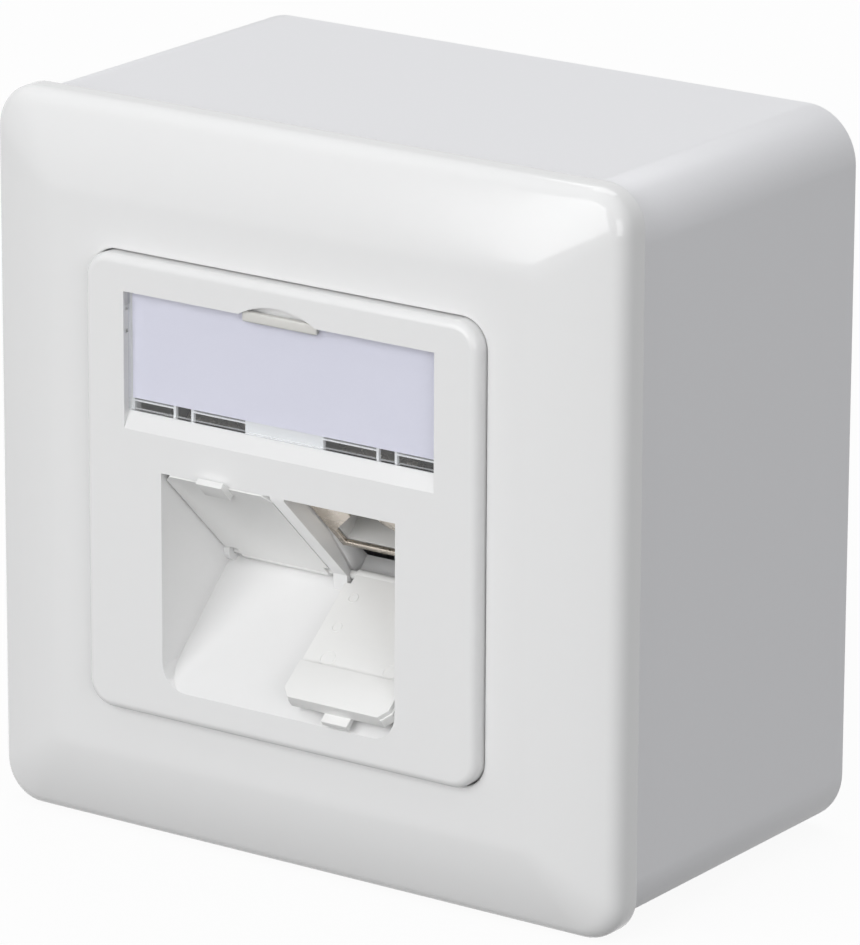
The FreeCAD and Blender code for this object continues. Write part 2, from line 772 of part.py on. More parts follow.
def jack_shield(label, side):
    """The folded sheet-metal can, open at the back, with the plug's opening in its face."""
    body = new_body(label)
    half = JACK_HALF
    back = s.jack_setback + s.jack_depth
    can = sketch_on(body, "YZ_Plane", -half)
    polygon(can, jack_side(ZERO, s.jack_setback, back))
    pad(body, can, 2 * JACK_HALF)
    inside = sketch_on(body, "YZ_Plane", s.sheet_metal - half)
    polygon(inside, jack_side(s.sheet_metal, s.jack_setback + s.sheet_metal, back))
    cut(body, inside, 2 * (JACK_HALF - s.sheet_metal))
    mouth = sketch_on(body, "XY_Plane", -s.jack_setback - s.sheet_metal)
    polygon(mouth, mouth_outline(s.mouth_side))
    cut(body, mouth, s.sheet_metal)
    place_in_port(body, CLOSED, side * PORT_CENTRE)
    return body


def jack_insert(label, side):
    """The moulded insert inside the can, with the plug's cavity and a slot for the contacts."""
    body = new_body(label)
    inset = s.sheet_metal + s.insert_fit
    half = JACK_HALF - inset
    front = s.jack_setback + inset
    back = s.jack_setback + s.jack_depth - s.sheet_metal
    block = sketch_on(body, "YZ_Plane", -half)
    polygon(block, jack_side(inset, front, back))
    pad(body, block, 2 * half)
    cavity = sketch_on(body, "XY_Plane", -front - s.cavity_depth)
    polygon(cavity, mouth_outline(s.plug_height))
    cut(body, cavity, s.cavity_depth)
    slot = sketch_on(body, "XY_Plane", -back)
    reach = CONTACTS / 2 * s.contact_pitch
    height = CONTACT_LEVEL
    rectangle(slot, -reach, reach, height - s.contact_pitch / 2, height + s.contact_pitch / 2)
    cut(body, slot, back - front - s.cavity_depth)
    place_in_port(body, CLOSED, side * PORT_CENTRE)
    return body


def jack_contacts(label, side):
    """Eight spring wires that slope back from under the cavity's roof to the circuit board."""
    body = new_body(label, several=True)
    thick = s.contact_width
    level = CONTACT_LEVEL
    near = s.jack_setback + s.sheet_metal + s.contact_start
    far = s.jack_setback + s.jack_depth
    knee = far - s.contact_tail
    for place in range(CONTACTS):
        across = (place - (CONTACTS - 1) / 2) * s.contact_pitch
        wire = sketch_on(body, "YZ_Plane", across - thick / 2)
        low = level - thick / 2
        high = low + s.contact_rise
        polygon(wire, [(high, -near), (low, -knee), (low, -far), (low + thick, -far),
                       (low + thick, -knee), (high + thick, -near)])
        pad(body, wire, thick)
    place_in_port(body, CLOSED, side * PORT_CENTRE)
    return body


# --- module ----------------------------------------------------------------------------------

JACK_BACK = s.jack_setback + s.jack_depth
BOARD_FRONT = JACK_BACK + s.screw_fit
BOARD_BACK = BOARD_FRONT + s.board_thickness
SUPPORT_HALF = s.recess_width / 2 + s.hood_wall + s.casting_fit + s.support_side
FLANGE_HALF = SUPPORT_HALF + s.flange_side
CASTING_HALF = s.recess_width / 2 + s.insert_fit + s.casting_side
CASTING_BOTTOM = s.jack_bottom - s.insert_fit - s.casting_wall
CASTING_TOP = s.jack_bottom + s.jack_height + s.insert_fit + s.casting_wall
LID_BACK = BOARD_BACK + s.lid_depth
LUG_LEVEL = s.jack_bottom + s.jack_height / 2
LUG_SCREW = CASTING_HALF + s.lug_reach / 2


def module_housing():
    """The die-cast housing: a flange behind the support plate and a sloping sleeve for the jacks."""
    body = new_body("module_housing")
    flange = sketch_on(body, "XZ_Plane", s.box_depth - s.flange_thickness)
    half = FLANGE_HALF
    rounded_rectangle(flange, -half, half, s.flange_bottom, s.flange_top, s.support_corner / 2)
    pad(body, flange, s.flange_thickness)
    gap = s.hood_wall + s.casting_fit
    window = sketch_on(body, "XZ_Plane", s.box_depth - s.flange_thickness)
    rectangle(window, -s.recess_width / 2 - gap, s.recess_width / 2 + gap,
              s.flange_bottom + s.flange_thickness, -s.plate_thickness / 2)
    cut(body, window, s.flange_thickness)
    towers = sketch_on(body, "XZ_Plane", s.box_depth - s.flange_thickness)
    pilots = sketch_on(body, "XZ_Plane", s.box_depth)
    tower_end = FRONT - s.label_recess - s.label_floor - s.screw_fit
    middle = s.label_bottom + s.label_height / 2
    for side in (-1, 1):
        circle(towers, side * s.plate_screw_spacing / 2, middle, s.tower_radius)
        circle(pilots, side * s.plate_screw_spacing / 2, middle, s.small_screw + s.screw_fit / 2)
    pad(body, towers, tower_end - s.box_depth + s.flange_thickness)
    front = s.hood_back + s.casting_fit
    slant = s.jack_slant + s.casting_wall
    bottom, top = CASTING_BOTTOM, CASTING_TOP
    outline = [(bottom, -front), (top - slant, -front), (top, -front - slant),
               (top, -BOARD_BACK), (bottom, -BOARD_BACK)]
    sleeve = sketch_on(body, "YZ_Plane", -CASTING_HALF)
    polygon(sleeve, [port_point(*point) for point in outline])
    pad(body, sleeve, 2 * CASTING_HALF)
    lug_half = CASTING_HALF + s.lug_reach
    lugs = sketch_on(body, "YZ_Plane", -lug_half)
    lug = [(LUG_LEVEL - s.lug_height / 2, -BOARD_BACK), (LUG_LEVEL + s.lug_height / 2, -BOARD_BACK),
           (LUG_LEVEL + s.lug_height / 2, s.lug_thread - BOARD_BACK),
           (LUG_LEVEL - s.lug_height / 2, s.lug_thread - BOARD_BACK)]
    polygon(lugs, [port_point(*point) for point in lug])
    pad(body, lugs, 2 * lug_half)
    bore = sketch_on(body, "YZ_Plane", -s.recess_width / 2 - s.insert_fit)
    low = s.jack_bottom - s.insert_fit
    high = s.jack_bottom + s.jack_height + s.insert_fit
    corners = [(low, 0), (high, 0), (high, -BOARD_BACK), (low, -BOARD_BACK)]
    polygon(bore, [port_point(*point) for point in corners])
    cut(body, bore, s.recess_width + 2 * s.insert_fit)
    cut(body, pilots, tower_end - s.box_depth)
    threads = sketch_in_port(body, -BOARD_BACK)
    for side in (-1, 1):
        circle(threads, side * LUG_SCREW, LUG_LEVEL, s.small_screw + s.screw_fit / 2)
    cut(body, threads, s.lug_thread)
    rivets = sketch_on(body, "XZ_Plane", s.box_depth - s.flange_thickness)
    for across, up in flange_screw_places():
        circle(rivets, across, up, s.small_screw + s.screw_fit / 2)
    cut(body, rivets, s.flange_thickness)
    return body


def flange_screw_places():
    """The four screws that hold the die-cast housing behind the support plate."""
    across = (SUPPORT_HALF + FLANGE_HALF) / 2
    return [(side * across, level) for side in (-1, 1)
            for level in (s.flange_top - s.flange_screw_inset,
                          s.flange_bottom + s.flange_screw_inset)]


def circuit_board():
    body = new_body("circuit_board")
    board = sketch_on(body, "XY_Plane", -BOARD_BACK)
    rectangle(board, -s.recess_width / 2, s.recess_width / 2, s.jack_bottom,
              s.jack_bottom + s.jack_height)
    pad(body, board, s.board_thickness)
    place_in_port(body, CLOSED)
    return body


ROW_SLOTS = CONTACTS // 2


def terminal_slots(sketch, width, length):
    """Eight narrow slots in two rows of four."""
    for row in (-1, 1):
        level = LUG_LEVEL + row * s.terminal_row
        for place in range(ROW_SLOTS):
            across = (place - (ROW_SLOTS - 1) / 2) * s.terminal_pitch
            rectangle(sketch, across - width / 2, across + width / 2,
                      level - length / 2, level + length / 2)


def terminal_block(label, side):
    body = new_body(label)
    half = JACK_HALF - s.sheet_metal
    block = sketch_on(body, "XY_Plane", -BOARD_BACK - s.block_height)
    rectangle(block, -half, half, s.jack_bottom + s.sheet_metal,
              s.jack_bottom + s.jack_height - s.sheet_metal)
    pad(body, block, s.block_height)
    slots = sketch_on(body, "XY_Plane", -BOARD_BACK - s.block_height)
    terminal_slots(slots, s.contact_pitch, s.terminal_slot)
    cut(body, slots, s.terminal_depth)
    place_in_port(body, CLOSED, side * PORT_CENTRE)
    return body


def terminal_blades(label, side):
    """The insulation-displacing blades, each standing on the floor of its slot."""
    body = new_body(label, several=True)
    blades = sketch_on(body, "XY_Plane", -BOARD_BACK - s.terminal_depth)
    terminal_slots(blades, s.contact_width, s.blade_width)
    pad(body, blades, s.blade_length)
    place_in_port(body, CLOSED, side * PORT_CENTRE)
    return body


def module_lid():
    """The die-cast lid over the terminals, with two cable entries and two screw lugs."""
    body = new_body("module_lid")
    outer = sketch_on(body, "XY_Plane", -LID_BACK)
    rectangle(outer, -CASTING_HALF, CASTING_HALF, CASTING_BOTTOM, CASTING_TOP)
    pad(body, outer, s.lid_depth)
    lugs = sketch_on(body, "XY_Plane", -BOARD_BACK - s.lug_thickness)
    lug_half = CASTING_HALF + s.lug_reach
    rectangle(lugs, -lug_half, lug_half, LUG_LEVEL - s.lug_height / 2, LUG_LEVEL + s.lug_height / 2)
    pad(body, lugs, s.lug_thickness)
    inside = sketch_on(body, "XY_Plane", s.casting_wall - LID_BACK)
    wall = s.casting_wall
    rectangle(inside, wall - CASTING_HALF, CASTING_HALF - wall, CASTING_BOTTOM + wall,
              CASTING_TOP - wall)
    cut(body, inside, s.lid_depth - wall)
    entries = sketch_on(body, "XY_Plane", -LID_BACK)
    screws = sketch_on(body, "XY_Plane", -BOARD_BACK - s.lug_thickness)
    for side in (-1, 1):
        circle(entries, side * PORT_CENTRE, LUG_LEVEL + s.clamp_height / 2, s.entry_radius)
        circle(screws, side * LUG_SCREW, LUG_LEVEL, s.small_screw + s.screw_fit)
    for across, up in clamp_screw_places():
        circle(entries, across, up, s.small_screw + s.screw_fit / 2)
    cut(body, entries, s.casting_wall)
    cut(body, screws, s.lug_thickness)
    place_in_port(body, CLOSED)
    return body


CLAMP_LEVEL = CASTING_BOTTOM + s.clamp_height / 2


def clamp_screw_places():
    return [(side * (CASTING_HALF - s.clamp_height / 2), CLAMP_LEVEL) for side in (-1, 1)]


def cable_clamp():
    """The strain relief bar across both cable entries."""
    body = new_body("cable_clamp")
    bar = sketch_on(body, "XY_Plane", -LID_BACK - s.clamp_thickness)
    rectangle(bar, -CASTING_HALF, CASTING_HALF, CLAMP_LEVEL - s.clamp_height / 2,
              CLAMP_LEVEL + s.clamp_height / 2)
    pad(body, bar, s.clamp_thickness)
    holes = sketch_on(body, "XY_Plane", -LID_BACK - s.clamp_thickness)
    for across, up in clamp_screw_places():
        circle(holes, across, up, s.small_screw + s.screw_fit)
    cut(body, holes, s.clamp_thickness)
    place_in_port(body, CLOSED)
    return body


# --- support plate and screws ----------------------------------------------------------------

def support_plate():
    """The pressed steel plate on the box's pillars, with level slots for its two screws."""
    body = new_body("support_plate")
    face = sketch_on(body, "XZ_Plane", s.box_depth)
    rounded_square(face, s.support_width / 2, s.support_corner)
    pad(body, face, s.support_thickness)
    opening = sketch_on(body, "XZ_Plane", s.box_depth)
    half = SUPPORT_HALF
    rounded_rectangle(opening, -half, half, s.support_opening_bottom, s.support_opening_top,
                      s.support_corner / 2)
    slot_half = s.screw_radius + s.screw_fit
    for side in (-1, 1):
        middle = side * s.pillar_spacing / 2
        rounded_rectangle(opening, middle - slot_half, middle + slot_half,
                          -s.slot_length / 2, s.slot_length / 2, slot_half - s.screw_fit)
    for across, up in flange_screw_places():
        circle(opening, across, up, s.small_screw + s.screw_fit)
    cut(body, opening, s.support_thickness)
    return body


def screws(label, role, places, seat, length, shank, head):
    """Pan-head screws, each with a cross slot, whose heads rest on the seat."""
    body = new_body(label, several=True)
    shanks = sketch_on(body, role, seat - length)
    heads = sketch_on(body, role, seat)
    slots = sketch_on(body, role, seat + s.head_height / 2)
    for across, up in places:
        circle(shanks, across, up, shank)
        circle(heads, across, up, head)
        arm, thin = head * s.cross_arm, head * s.cross_half
        polygon(slots, [(across - arm, up - thin), (across - thin, up - thin),
                        (across - thin, up - arm), (across + thin, up - arm),
                        (across + thin, up - thin), (across + arm, up - thin),
                        (across + arm, up + thin), (across + thin, up + thin),
                        (across + thin, up + arm), (across - thin, up + arm),
                        (across - thin, up + thin), (across - arm, up + thin)])
    pad(body, heads, s.head_height)
    pad(body, shanks, length)
    cut(body, slots, s.head_height / 2)
    return body


def rear_screws(label, places, seat, length):
    """Screws put in from the back of the sloping module, so they are turned half round."""
    flipped = [(across, -up) for across, up in places]
    body = screws(label, "XY_Plane", flipped, seat, length, s.small_screw, s.small_head)
    place_in_port(body, CLOSED + 180)
    return body


def all_screws():
    front = s.box_depth + s.support_thickness
    pillars = [(side * s.pillar_spacing / 2, 0) for side in (-1, 1)]
    screws("support_screws", "XZ_Plane", pillars, front, s.support_screw_length,
           s.screw_radius, s.screw_head)
    screws("flange_screws", "XZ_Plane", flange_screw_places(), front,
           s.support_thickness + s.flange_thickness, s.small_screw, s.small_head)
    middle = s.label_bottom + s.label_height / 2
    plate = [(side * s.plate_screw_spacing / 2, middle) for side in (-1, 1)]
    screws("centre_plate_screws", "XZ_Plane", plate, FRONT - s.label_recess - s.head_height,
           s.label_floor + s.box_wall, s.small_screw, s.small_head)
    lugs = [(side * LUG_SCREW, LUG_LEVEL) for side in (-1, 1)]
    rear_screws("lid_screws", lugs, BOARD_BACK + s.lug_thickness, 2 * s.lug_thickness)
    rear_screws("clamp_screws", clamp_screw_places(), LID_BACK + s.clamp_thickness,
                s.clamp_thickness + s.casting_wall)


# --- assembly --------------------------------------------------------------------------------

def build():
    surface_box()
    cover_frame()
    centre_plate()
    label_paper()
    label_cover()
    dust_flap("left_dust_flap", -1, CLOSED)
    dust_flap("right_dust_flap", 1, OPEN)
    for name, side in (("left", -1), ("right", 1)):
        jack_shield(f"{name}_jack_shield", side)
        jack_insert(f"{name}_jack_insert", side)
        jack_contacts(f"{name}_jack_contacts", side)
        terminal_block(f"{name}_terminal_block", side)
        terminal_blades(f"{name}_terminal_blades", side)
    module_housing()
    circuit_board()
    module_lid()
    cable_clamp()
    support_plate()
    all_screws()


def check(parts):
    """Stops on a failed feature, a feature that changes nothing, or a shape that isn't valid."""
    for item in doc.Objects:
        if "Invalid" in item.State or "Error" in item.State:
            raise RuntimeError(f"{item.Label} in {item.State}")
        if item.TypeId in ("PartDesign::Pocket", "PartDesign::Pad") and item.BaseFeature:
            change = item.Shape.Volume - item.BaseFeature.Shape.Volume
            if (change > -1e-6) == (item.TypeId == "PartDesign::Pocket"):
                raise RuntimeError(f"{item.Name} of {item.getParent().Label} changes nothing")
    for part in parts:
        if part.Shape.isNull() or not part.Shape.isValid():
            raise RuntimeError(f"{part.Label} has no valid shape")


build()
doc.recompute()
bodies = [item for item in doc.Objects if item.TypeId == "PartDesign::Body"]
check(bodies)
os.makedirs("parts", exist_ok=True)
for part in bodies:
    part.Shape.exportStep(f"parts/{part.Label}.step")
    print(f"{part.Label}: {len(part.Shape.Solids)} solids, {part.Shape.Volume:.1f} mm3")
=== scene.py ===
# %% [markdown]
# # A surface mount jack box, cell by cell
#
# The object is a white data outlet for a wall: a deep plain box, a glossy 80 mm cover frame with a
# soft bevel, and a raised 50 mm centre plate. The plate has a label window at the top and, below it,
# two angled jack ports behind small dust flaps. The left flap is shut and the right one hangs open.
#
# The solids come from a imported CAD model, in metres, with +Z up and the ports facing -Y. Each cell
# either takes one of those solids as it is and finishes its surface, or builds a finer mesh that
# stands for it and rides on the same body.

# %% Load the frame
import bpy
import bmesh
import json
import math
from mathutils import Matrix, Quaternion, Vector

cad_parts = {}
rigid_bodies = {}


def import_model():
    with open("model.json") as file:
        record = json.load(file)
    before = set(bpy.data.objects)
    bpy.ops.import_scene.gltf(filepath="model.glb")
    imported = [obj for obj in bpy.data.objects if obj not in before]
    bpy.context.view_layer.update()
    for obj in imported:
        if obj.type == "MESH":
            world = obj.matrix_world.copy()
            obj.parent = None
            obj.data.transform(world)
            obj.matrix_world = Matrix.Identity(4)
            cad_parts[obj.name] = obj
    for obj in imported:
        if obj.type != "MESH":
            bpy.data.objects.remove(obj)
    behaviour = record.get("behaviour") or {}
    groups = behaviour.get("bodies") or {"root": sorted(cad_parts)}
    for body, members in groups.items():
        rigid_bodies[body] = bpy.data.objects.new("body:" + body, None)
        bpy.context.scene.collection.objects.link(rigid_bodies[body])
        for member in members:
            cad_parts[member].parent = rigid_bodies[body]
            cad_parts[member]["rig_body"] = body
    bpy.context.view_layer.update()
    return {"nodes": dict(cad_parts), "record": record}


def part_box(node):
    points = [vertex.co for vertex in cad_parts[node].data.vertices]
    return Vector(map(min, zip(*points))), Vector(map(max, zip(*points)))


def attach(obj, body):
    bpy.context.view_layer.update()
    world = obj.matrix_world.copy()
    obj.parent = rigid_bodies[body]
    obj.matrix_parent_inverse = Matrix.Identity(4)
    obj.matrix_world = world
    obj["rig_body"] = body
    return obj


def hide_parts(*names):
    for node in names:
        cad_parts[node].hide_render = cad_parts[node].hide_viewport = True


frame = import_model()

MM = 0.001
nodes = frame["nodes"]

# %% [markdown]
# ## Places that the other cells share
#
# The box, the frame and the plate are all squares about the same centre line, so their corners tell
# how large they are. Reading them from the frame keeps every later mesh in step with the solids.

# %% Read the main sizes from the frame
rim_low, rim_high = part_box("cover_frame")
plate_low, plate_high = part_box("centre_plate")
FRAME_HALF = rim_high.x
PLATE_HALF = plate_high.x
FLOOR_LEVEL = rim_low.z
FLAT_Y = rim_low.y
SEAM_Y = rim_high.y
FRONT_Y = plate_low.y
print(f"frame {2 * FRAME_HALF / MM:.1f} mm, plate {2 * PLATE_HALF / MM:.1f} mm")
print(f"plate's face at y {FRONT_Y / MM:.1f} mm")

# %% [markdown]
# ## Helpers for meshes
#
# A finished piece is an object at the origin whose place is in its mesh. `add_piece` makes such an
# object, hangs it on its body and hides the solid that it stands for. `welded_copy` is the usual start:
# a solid arrives as loose triangles, so a copy is welded and its flat faces are joined again.
#
# Smooth shading blends the normals of neighbouring faces, and a large flat face beside a rounded edge
# then looks slightly bent. `even_shading` gives the corners of every large face that face's own normal.

# %% Helper: shading that keeps flat faces flat
SMOOTH_ANGLE = math.radians(32)
FLAT_AREA = 60 * MM * MM


def even_shading(mesh):
    """Smooth shading in which every large flat face stays flat right up to its rounded edge."""
    mesh.shade_smooth()
    mesh.set_sharp_from_angle(angle=SMOOTH_ANGLE)
    normals = [corner.vector.copy() for corner in mesh.corner_normals]
    flat_faces = [face for face in mesh.polygons if face.area > FLAT_AREA]
    flat_beside = {}
    for face in flat_faces:
        for vertex in face.vertices:
            flat_beside.setdefault(vertex, []).append(face.normal.copy())
    for corner, loop in enumerate(mesh.loops):
        for flat in flat_beside.get(loop.vertex_index, []):
            if flat.angle(normals[corner], math.pi) < SMOOTH_ANGLE:
                normals[corner] = flat
    for face in flat_faces:
        for corner in face.loop_indices:
            normals[corner] = face.normal.copy()
    mesh.normals_split_custom_set([tuple(normal) for normal in normals])


# %% Helper: add a finished piece
def add_piece(name, mesh, node, material):
    """An object for the mesh that stands for the CAD node and rides on the node's body."""
    even_shading(mesh)
    piece = bpy.data.objects.new(name, mesh)
    bpy.context.scene.collection.objects.link(piece)
    mesh.materials.clear()
    mesh.materials.append(material)
    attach(piece, nodes[node]["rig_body"])
    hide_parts(node)
    return piece


def slot_of(node):
    """The record's material slot of a node."""
    rows = frame["record"]["subparts"]
    return next(row["material_slot"] for row in rows if row["node"] == node)


# %% Helper: a welded copy of a CAD node
WELD_GAP = 0.002 * MM
SAME_PLANE = math.radians(0.3)


def welded_copy(node):
    """The node's mesh with its triangles welded and the flat ones joined to larger faces."""
    mesh = bpy.data.meshes.new(f"{node}_mesh")
    shell = bmesh.new()
    shell.from_mesh(nodes[node].data)
    bmesh.ops.remove_doubles(shell, verts=shell.verts, dist=WELD_GAP)
    bmesh.ops.dissolve_limit(shell, angle_limit=SAME_PLANE, verts=shell.verts, edges=shell.edges)
    shell.to_mesh(mesh)
    shell.free()
    return mesh


# %% Helper: soften the sharp edges of a mesh
EDGE_STEPS = 3
CLOSE_POINTS = 0.005 * MM


def every_edge(first, second):
    """The test that picks all the sharp edges."""
    return True


def soften(mesh, width_mm, chosen=every_edge):
    """Rounds the sharp edges that the test picks, as a mould leaves them.

    The test gets the two ends of an edge. Points that end up together are merged afterwards.
    """
    shell = bmesh.new()
    shell.from_mesh(mesh)
    shell.normal_update()
    sharp = []
    for edge in shell.edges:
        if len(edge.link_faces) == 2 and edge.calc_face_angle() > SMOOTH_ANGLE:
            ends = [vertex.co for vertex in edge.verts]
            if chosen(*ends):
                sharp.append(edge)
    bmesh.ops.bevel(shell, geom=sharp, offset=width_mm * MM, segments=EDGE_STEPS, profile=0.5,
                    affect="EDGES", clamp_overlap=True)
    bmesh.ops.remove_doubles(shell, verts=shell.verts, dist=CLOSE_POINTS)
    shell.to_mesh(mesh)
    shell.free()
    return mesh


# %% [markdown]
# ## Materials: white plastics
#
# All the white pieces are moulded ABS, but not with the same surface. The frame and the plate come
# from polished moulds, so they are glossy, with the faint waviness that moulders call orange peel. The
# back box comes from a fine-blasted mould and is satin. One function makes them all: a noise texture
# on Object coordinates bends the surface a little, and a second one varies the roughness, which is
# what keeps a plain white thing from looking like a flat colour.

# %% Helper: a material with its main nodes
def new_material(name):
    material = bpy.data.materials.new(name)
    material.use_nodes = True
    tree = material.node_tree
    return material, tree, tree.nodes["Principled BSDF"]


def add_noise(tree, scale_per_metre, detail=2.0):
    """A noise texture on Object coordinates, with its scale in waves per metre."""
    coordinates = tree.nodes.new("ShaderNodeTexCoord")
    noise = tree.nodes.new("ShaderNodeTexNoise")
    noise.inputs["Scale"].default_value = scale_per_metre
    noise.inputs["Detail"].default_value = detail
    tree.links.new(coordinates.outputs["Object"], noise.inputs["Vector"])
    return noise


def add_range(tree, source, low, high):
    """Spreads a 0 to 1 value over a range."""
    spread = tree.nodes.new("ShaderNodeMapRange")
    spread.inputs["To Min"].default_value = low
    spread.inputs["To Max"].default_value = high
    tree.links.new(source, spread.inputs["Value"])
    return spread.outputs["Result"]


def add_bump(tree, shader, source, height_mm, strength=1.0):
    bump = tree.nodes.new("ShaderNodeBump")
    bump.inputs["Strength"].default_value = strength
    bump.inputs["Distance"].default_value = height_mm * MM
    tree.links.new(source, bump.inputs["Height"])
    tree.links.new(bump.outputs["Normal"], shader.inputs["Normal"])


def either(tree, *rays):
    """1 where any of the named Light Path outputs is 1."""
    path = tree.nodes.new("ShaderNodeLightPath")
    met = path.outputs[rays[0]]
    for ray in rays[1:]:
        larger = tree.nodes.new("ShaderNodeMath")
        larger.operation = "MAXIMUM"
        tree.links.new(met, larger.inputs[0])
        tree.links.new(path.outputs[ray], larger.inputs[1])
        met = larger.outputs["Value"]
    return met


def blend_to_output(tree, factor, first, second, output):
    """Mixes two shaders by the factor and sends the mix to the tree's output node."""
    blend = tree.nodes.new("ShaderNodeMixShader")
    tree.links.new(factor, blend.inputs["Fac"])
    tree.links.new(first, blend.inputs[1])
    tree.links.new(second, blend.inputs[2])
    tree.links.new(blend.outputs["Shader"], tree.nodes[output].inputs["Surface"])


# %% White plastics
def white_plastic(name, colour, roughness, wave_mm, wave_height_mm, speckle):
    """Moulded white plastic. wave_mm is the size of the surface's waves, speckle its tint's range."""
    material, tree, shader = new_material(name)
    wave = add_noise(tree, 1000 / wave_mm)
    fine = add_noise(tree, 9000.0, detail=3.0)
    mix = tree.nodes.new("ShaderNodeMix")
    mix.data_type = "RGBA"
    mix.inputs["A"].default_value = (*[channel * (1 - speckle) for channel in colour], 1)
    mix.inputs["B"].default_value = (*colour, 1)
    tree.links.new(wave.outputs["Fac"], mix.inputs["Factor"])
    tree.links.new(mix.outputs["Result"], shader.inputs["Base Color"])
    tree.links.new(add_range(tree, fine.outputs["Fac"], roughness * 0.85, roughness * 1.15),
                   shader.inputs["Roughness"])
    shader.inputs["IOR"].default_value = 1.52
    add_bump(tree, shader, wave.outputs["Fac"], wave_height_mm)
    return material


gloss_white = white_plastic("gloss_white", (0.86, 0.86, 0.86), 0.10, 3.0, 0.004, 0.01)
plate_white = white_plastic("plate_white", (0.86, 0.86, 0.86), 0.16, 2.2, 0.004, 0.01)
# The flaps' white is lighter than the plate's as painted light: it lifts the shade that the downward-facing
# flaps sit in.
flap_white = white_plastic("flap_white", (0.90, 0.90, 0.89), 0.22, 1.5, 0.003, 0.015)
satin_white = white_plastic("satin_white", (0.82, 0.82, 0.84), 0.38, 0.6, 0.006, 0.015)
print("white plastics made")

# %% [markdown]
# ## Materials: label, metal and inner plastics

# %% Label card and its clear cover
def plain_card(name, colour):
    """Smooth printed card: matt, with the faint mottling of pressed fibres."""
    material, tree, shader = new_material(name)
    fibres = add_noise(tree, 2500.0, detail=6.0)
    mix = tree.nodes.new("ShaderNodeMix")
    mix.data_type = "RGBA"
    mix.inputs["A"].default_value = (*[channel * 0.985 for channel in colour], 1)
    mix.inputs["B"].default_value = (*colour, 1)
    tree.links.new(fibres.outputs["Fac"], mix.inputs["Factor"])
    tree.links.new(mix.outputs["Result"], shader.inputs["Base Color"])
    shader.inputs["Roughness"].default_value = 0.75
    add_bump(tree, shader, fibres.outputs["Fac"], 0.004)
    return material


def clear_plastic(name, tint, roughness):
    """A thin clear sheet. Its coat gives the gloss of acrylic and its body bends the view only a little.

    Lamp light goes straight through, so what lies behind the sheet isn't in its shade.
    """
    material, tree, shader = new_material(name)
    waves = add_noise(tree, 300.0)
    shader.inputs["Base Color"].default_value = (*tint, 1)
    shader.inputs["Roughness"].default_value = roughness
    shader.inputs["IOR"].default_value = 1.08
    shader.inputs["Transmission Weight"].default_value = 1.0
    shader.inputs["Coat Weight"].default_value = 1.0
    shader.inputs["Coat IOR"].default_value = 1.49
    add_bump(tree, shader, waves.outputs["Fac"], 0.002)
    open_way = tree.nodes.new("ShaderNodeBsdfTransparent")
    open_way.inputs["Color"].default_value = (*[channel * 0.97 for channel in tint], 1)
    blend_to_output(tree, either(tree, "Is Shadow Ray", "Is Diffuse Ray"), shader.outputs["BSDF"],
                    open_way.outputs["BSDF"], "Material Output")
    return material


label_card = plain_card("label_card", (0.90, 0.88, 0.99))
clear_cover = clear_plastic("clear_cover", (0.97, 0.98, 0.99), 0.03)


# %% Metals and the other inner finishes
def metal(name, colour, roughness, grain_mm):
    """Bare or plated metal with a fine uneven grain in its roughness and its surface."""
    material, tree, shader = new_material(name)
    grain = add_noise(tree, 1000 / grain_mm, detail=4.0)
    shader.inputs["Base Color"].default_value = (*colour, 1)
    shader.inputs["Metallic"].default_value = 1.0
    tree.links.new(add_range(tree, grain.outputs["Fac"], roughness * 0.7, roughness * 1.3),
                   shader.inputs["Roughness"])
    add_bump(tree, shader, grain.outputs["Fac"], 0.006)
    return material


finishes = {
    "gloss_white": gloss_white,
    "satin_white": satin_white,
    "plate_white": plate_white,
    "flap_white": flap_white,
    "label_card": label_card,
    "clear_cover": clear_cover,
    "jack_nickel": metal("jack_nickel", (0.62, 0.56, 0.49), 0.28, 0.8),
    "jack_grey": white_plastic("jack_grey", (0.82, 0.82, 0.81), 0.35, 0.8, 0.004, 0.02),
    "contact_gold": metal("contact_gold", (0.83, 0.62, 0.28), 0.2, 0.3),
    # The casting's colour is painted shade: it is near black so that the label slots look dark, where bare
    # zinc would be grey.
    "zinc_casting": metal("zinc_casting", (0.025, 0.025, 0.027), 0.55, 0.3),
    "board_green": white_plastic("board_green", (0.02, 0.12, 0.05), 0.3, 1.0, 0.004, 0.2),
    "terminal_grey": white_plastic("terminal_grey", (0.72, 0.72, 0.70), 0.4, 0.8, 0.004, 0.02),
    "blade_tin": metal("blade_tin", (0.66, 0.66, 0.67), 0.3, 0.3),
    "plate_steel": metal("plate_steel", (0.56, 0.57, 0.58), 0.35, 0.6),
    "screw_steel": metal("screw_steel", (0.52, 0.52, 0.54), 0.3, 0.3),
}
print("finishes:", len(finishes))

# %% [markdown]
# ## The cover frame
#
# The frame is one glossy moulding whose cross-section is the same all round, except that the corners
# get rounder towards the rim. That is a rule, so the mesh follows it: each point of the section makes
# one ring, a square with round corners, and neighbouring rings are joined by quads. A ring needs only
# its half width, its depth and its corner radius.

# %% Helper: rings of a rounded square
CORNER_STEPS = 12
SIDE_STEPS = 10


def square_ring(half, radius, y):
    """Points round a square with round corners, in the XZ plane, starting at the lower right."""
    points = []
    core = half - radius
    for quarter in range(4):
        start = math.radians(90 * quarter - 90)
        turn = Matrix.Rotation(math.radians(90 * quarter), 2)
        centre = turn @ Vector((core, -core))
        for step in range(CORNER_STEPS + 1):
            angle = start + math.radians(90) * step / CORNER_STEPS
            points.append((centre.x + radius * math.cos(angle), y, centre.y + radius * math.sin(angle)))
        following = turn @ Vector((core, core))
        for step in range(1, SIDE_STEPS):
            middle = centre.lerp(following, step / SIDE_STEPS)
            end = math.radians(90 * quarter)
            points.append((middle.x + radius * math.cos(end), y, middle.y + radius * math.sin(end)))
    return points


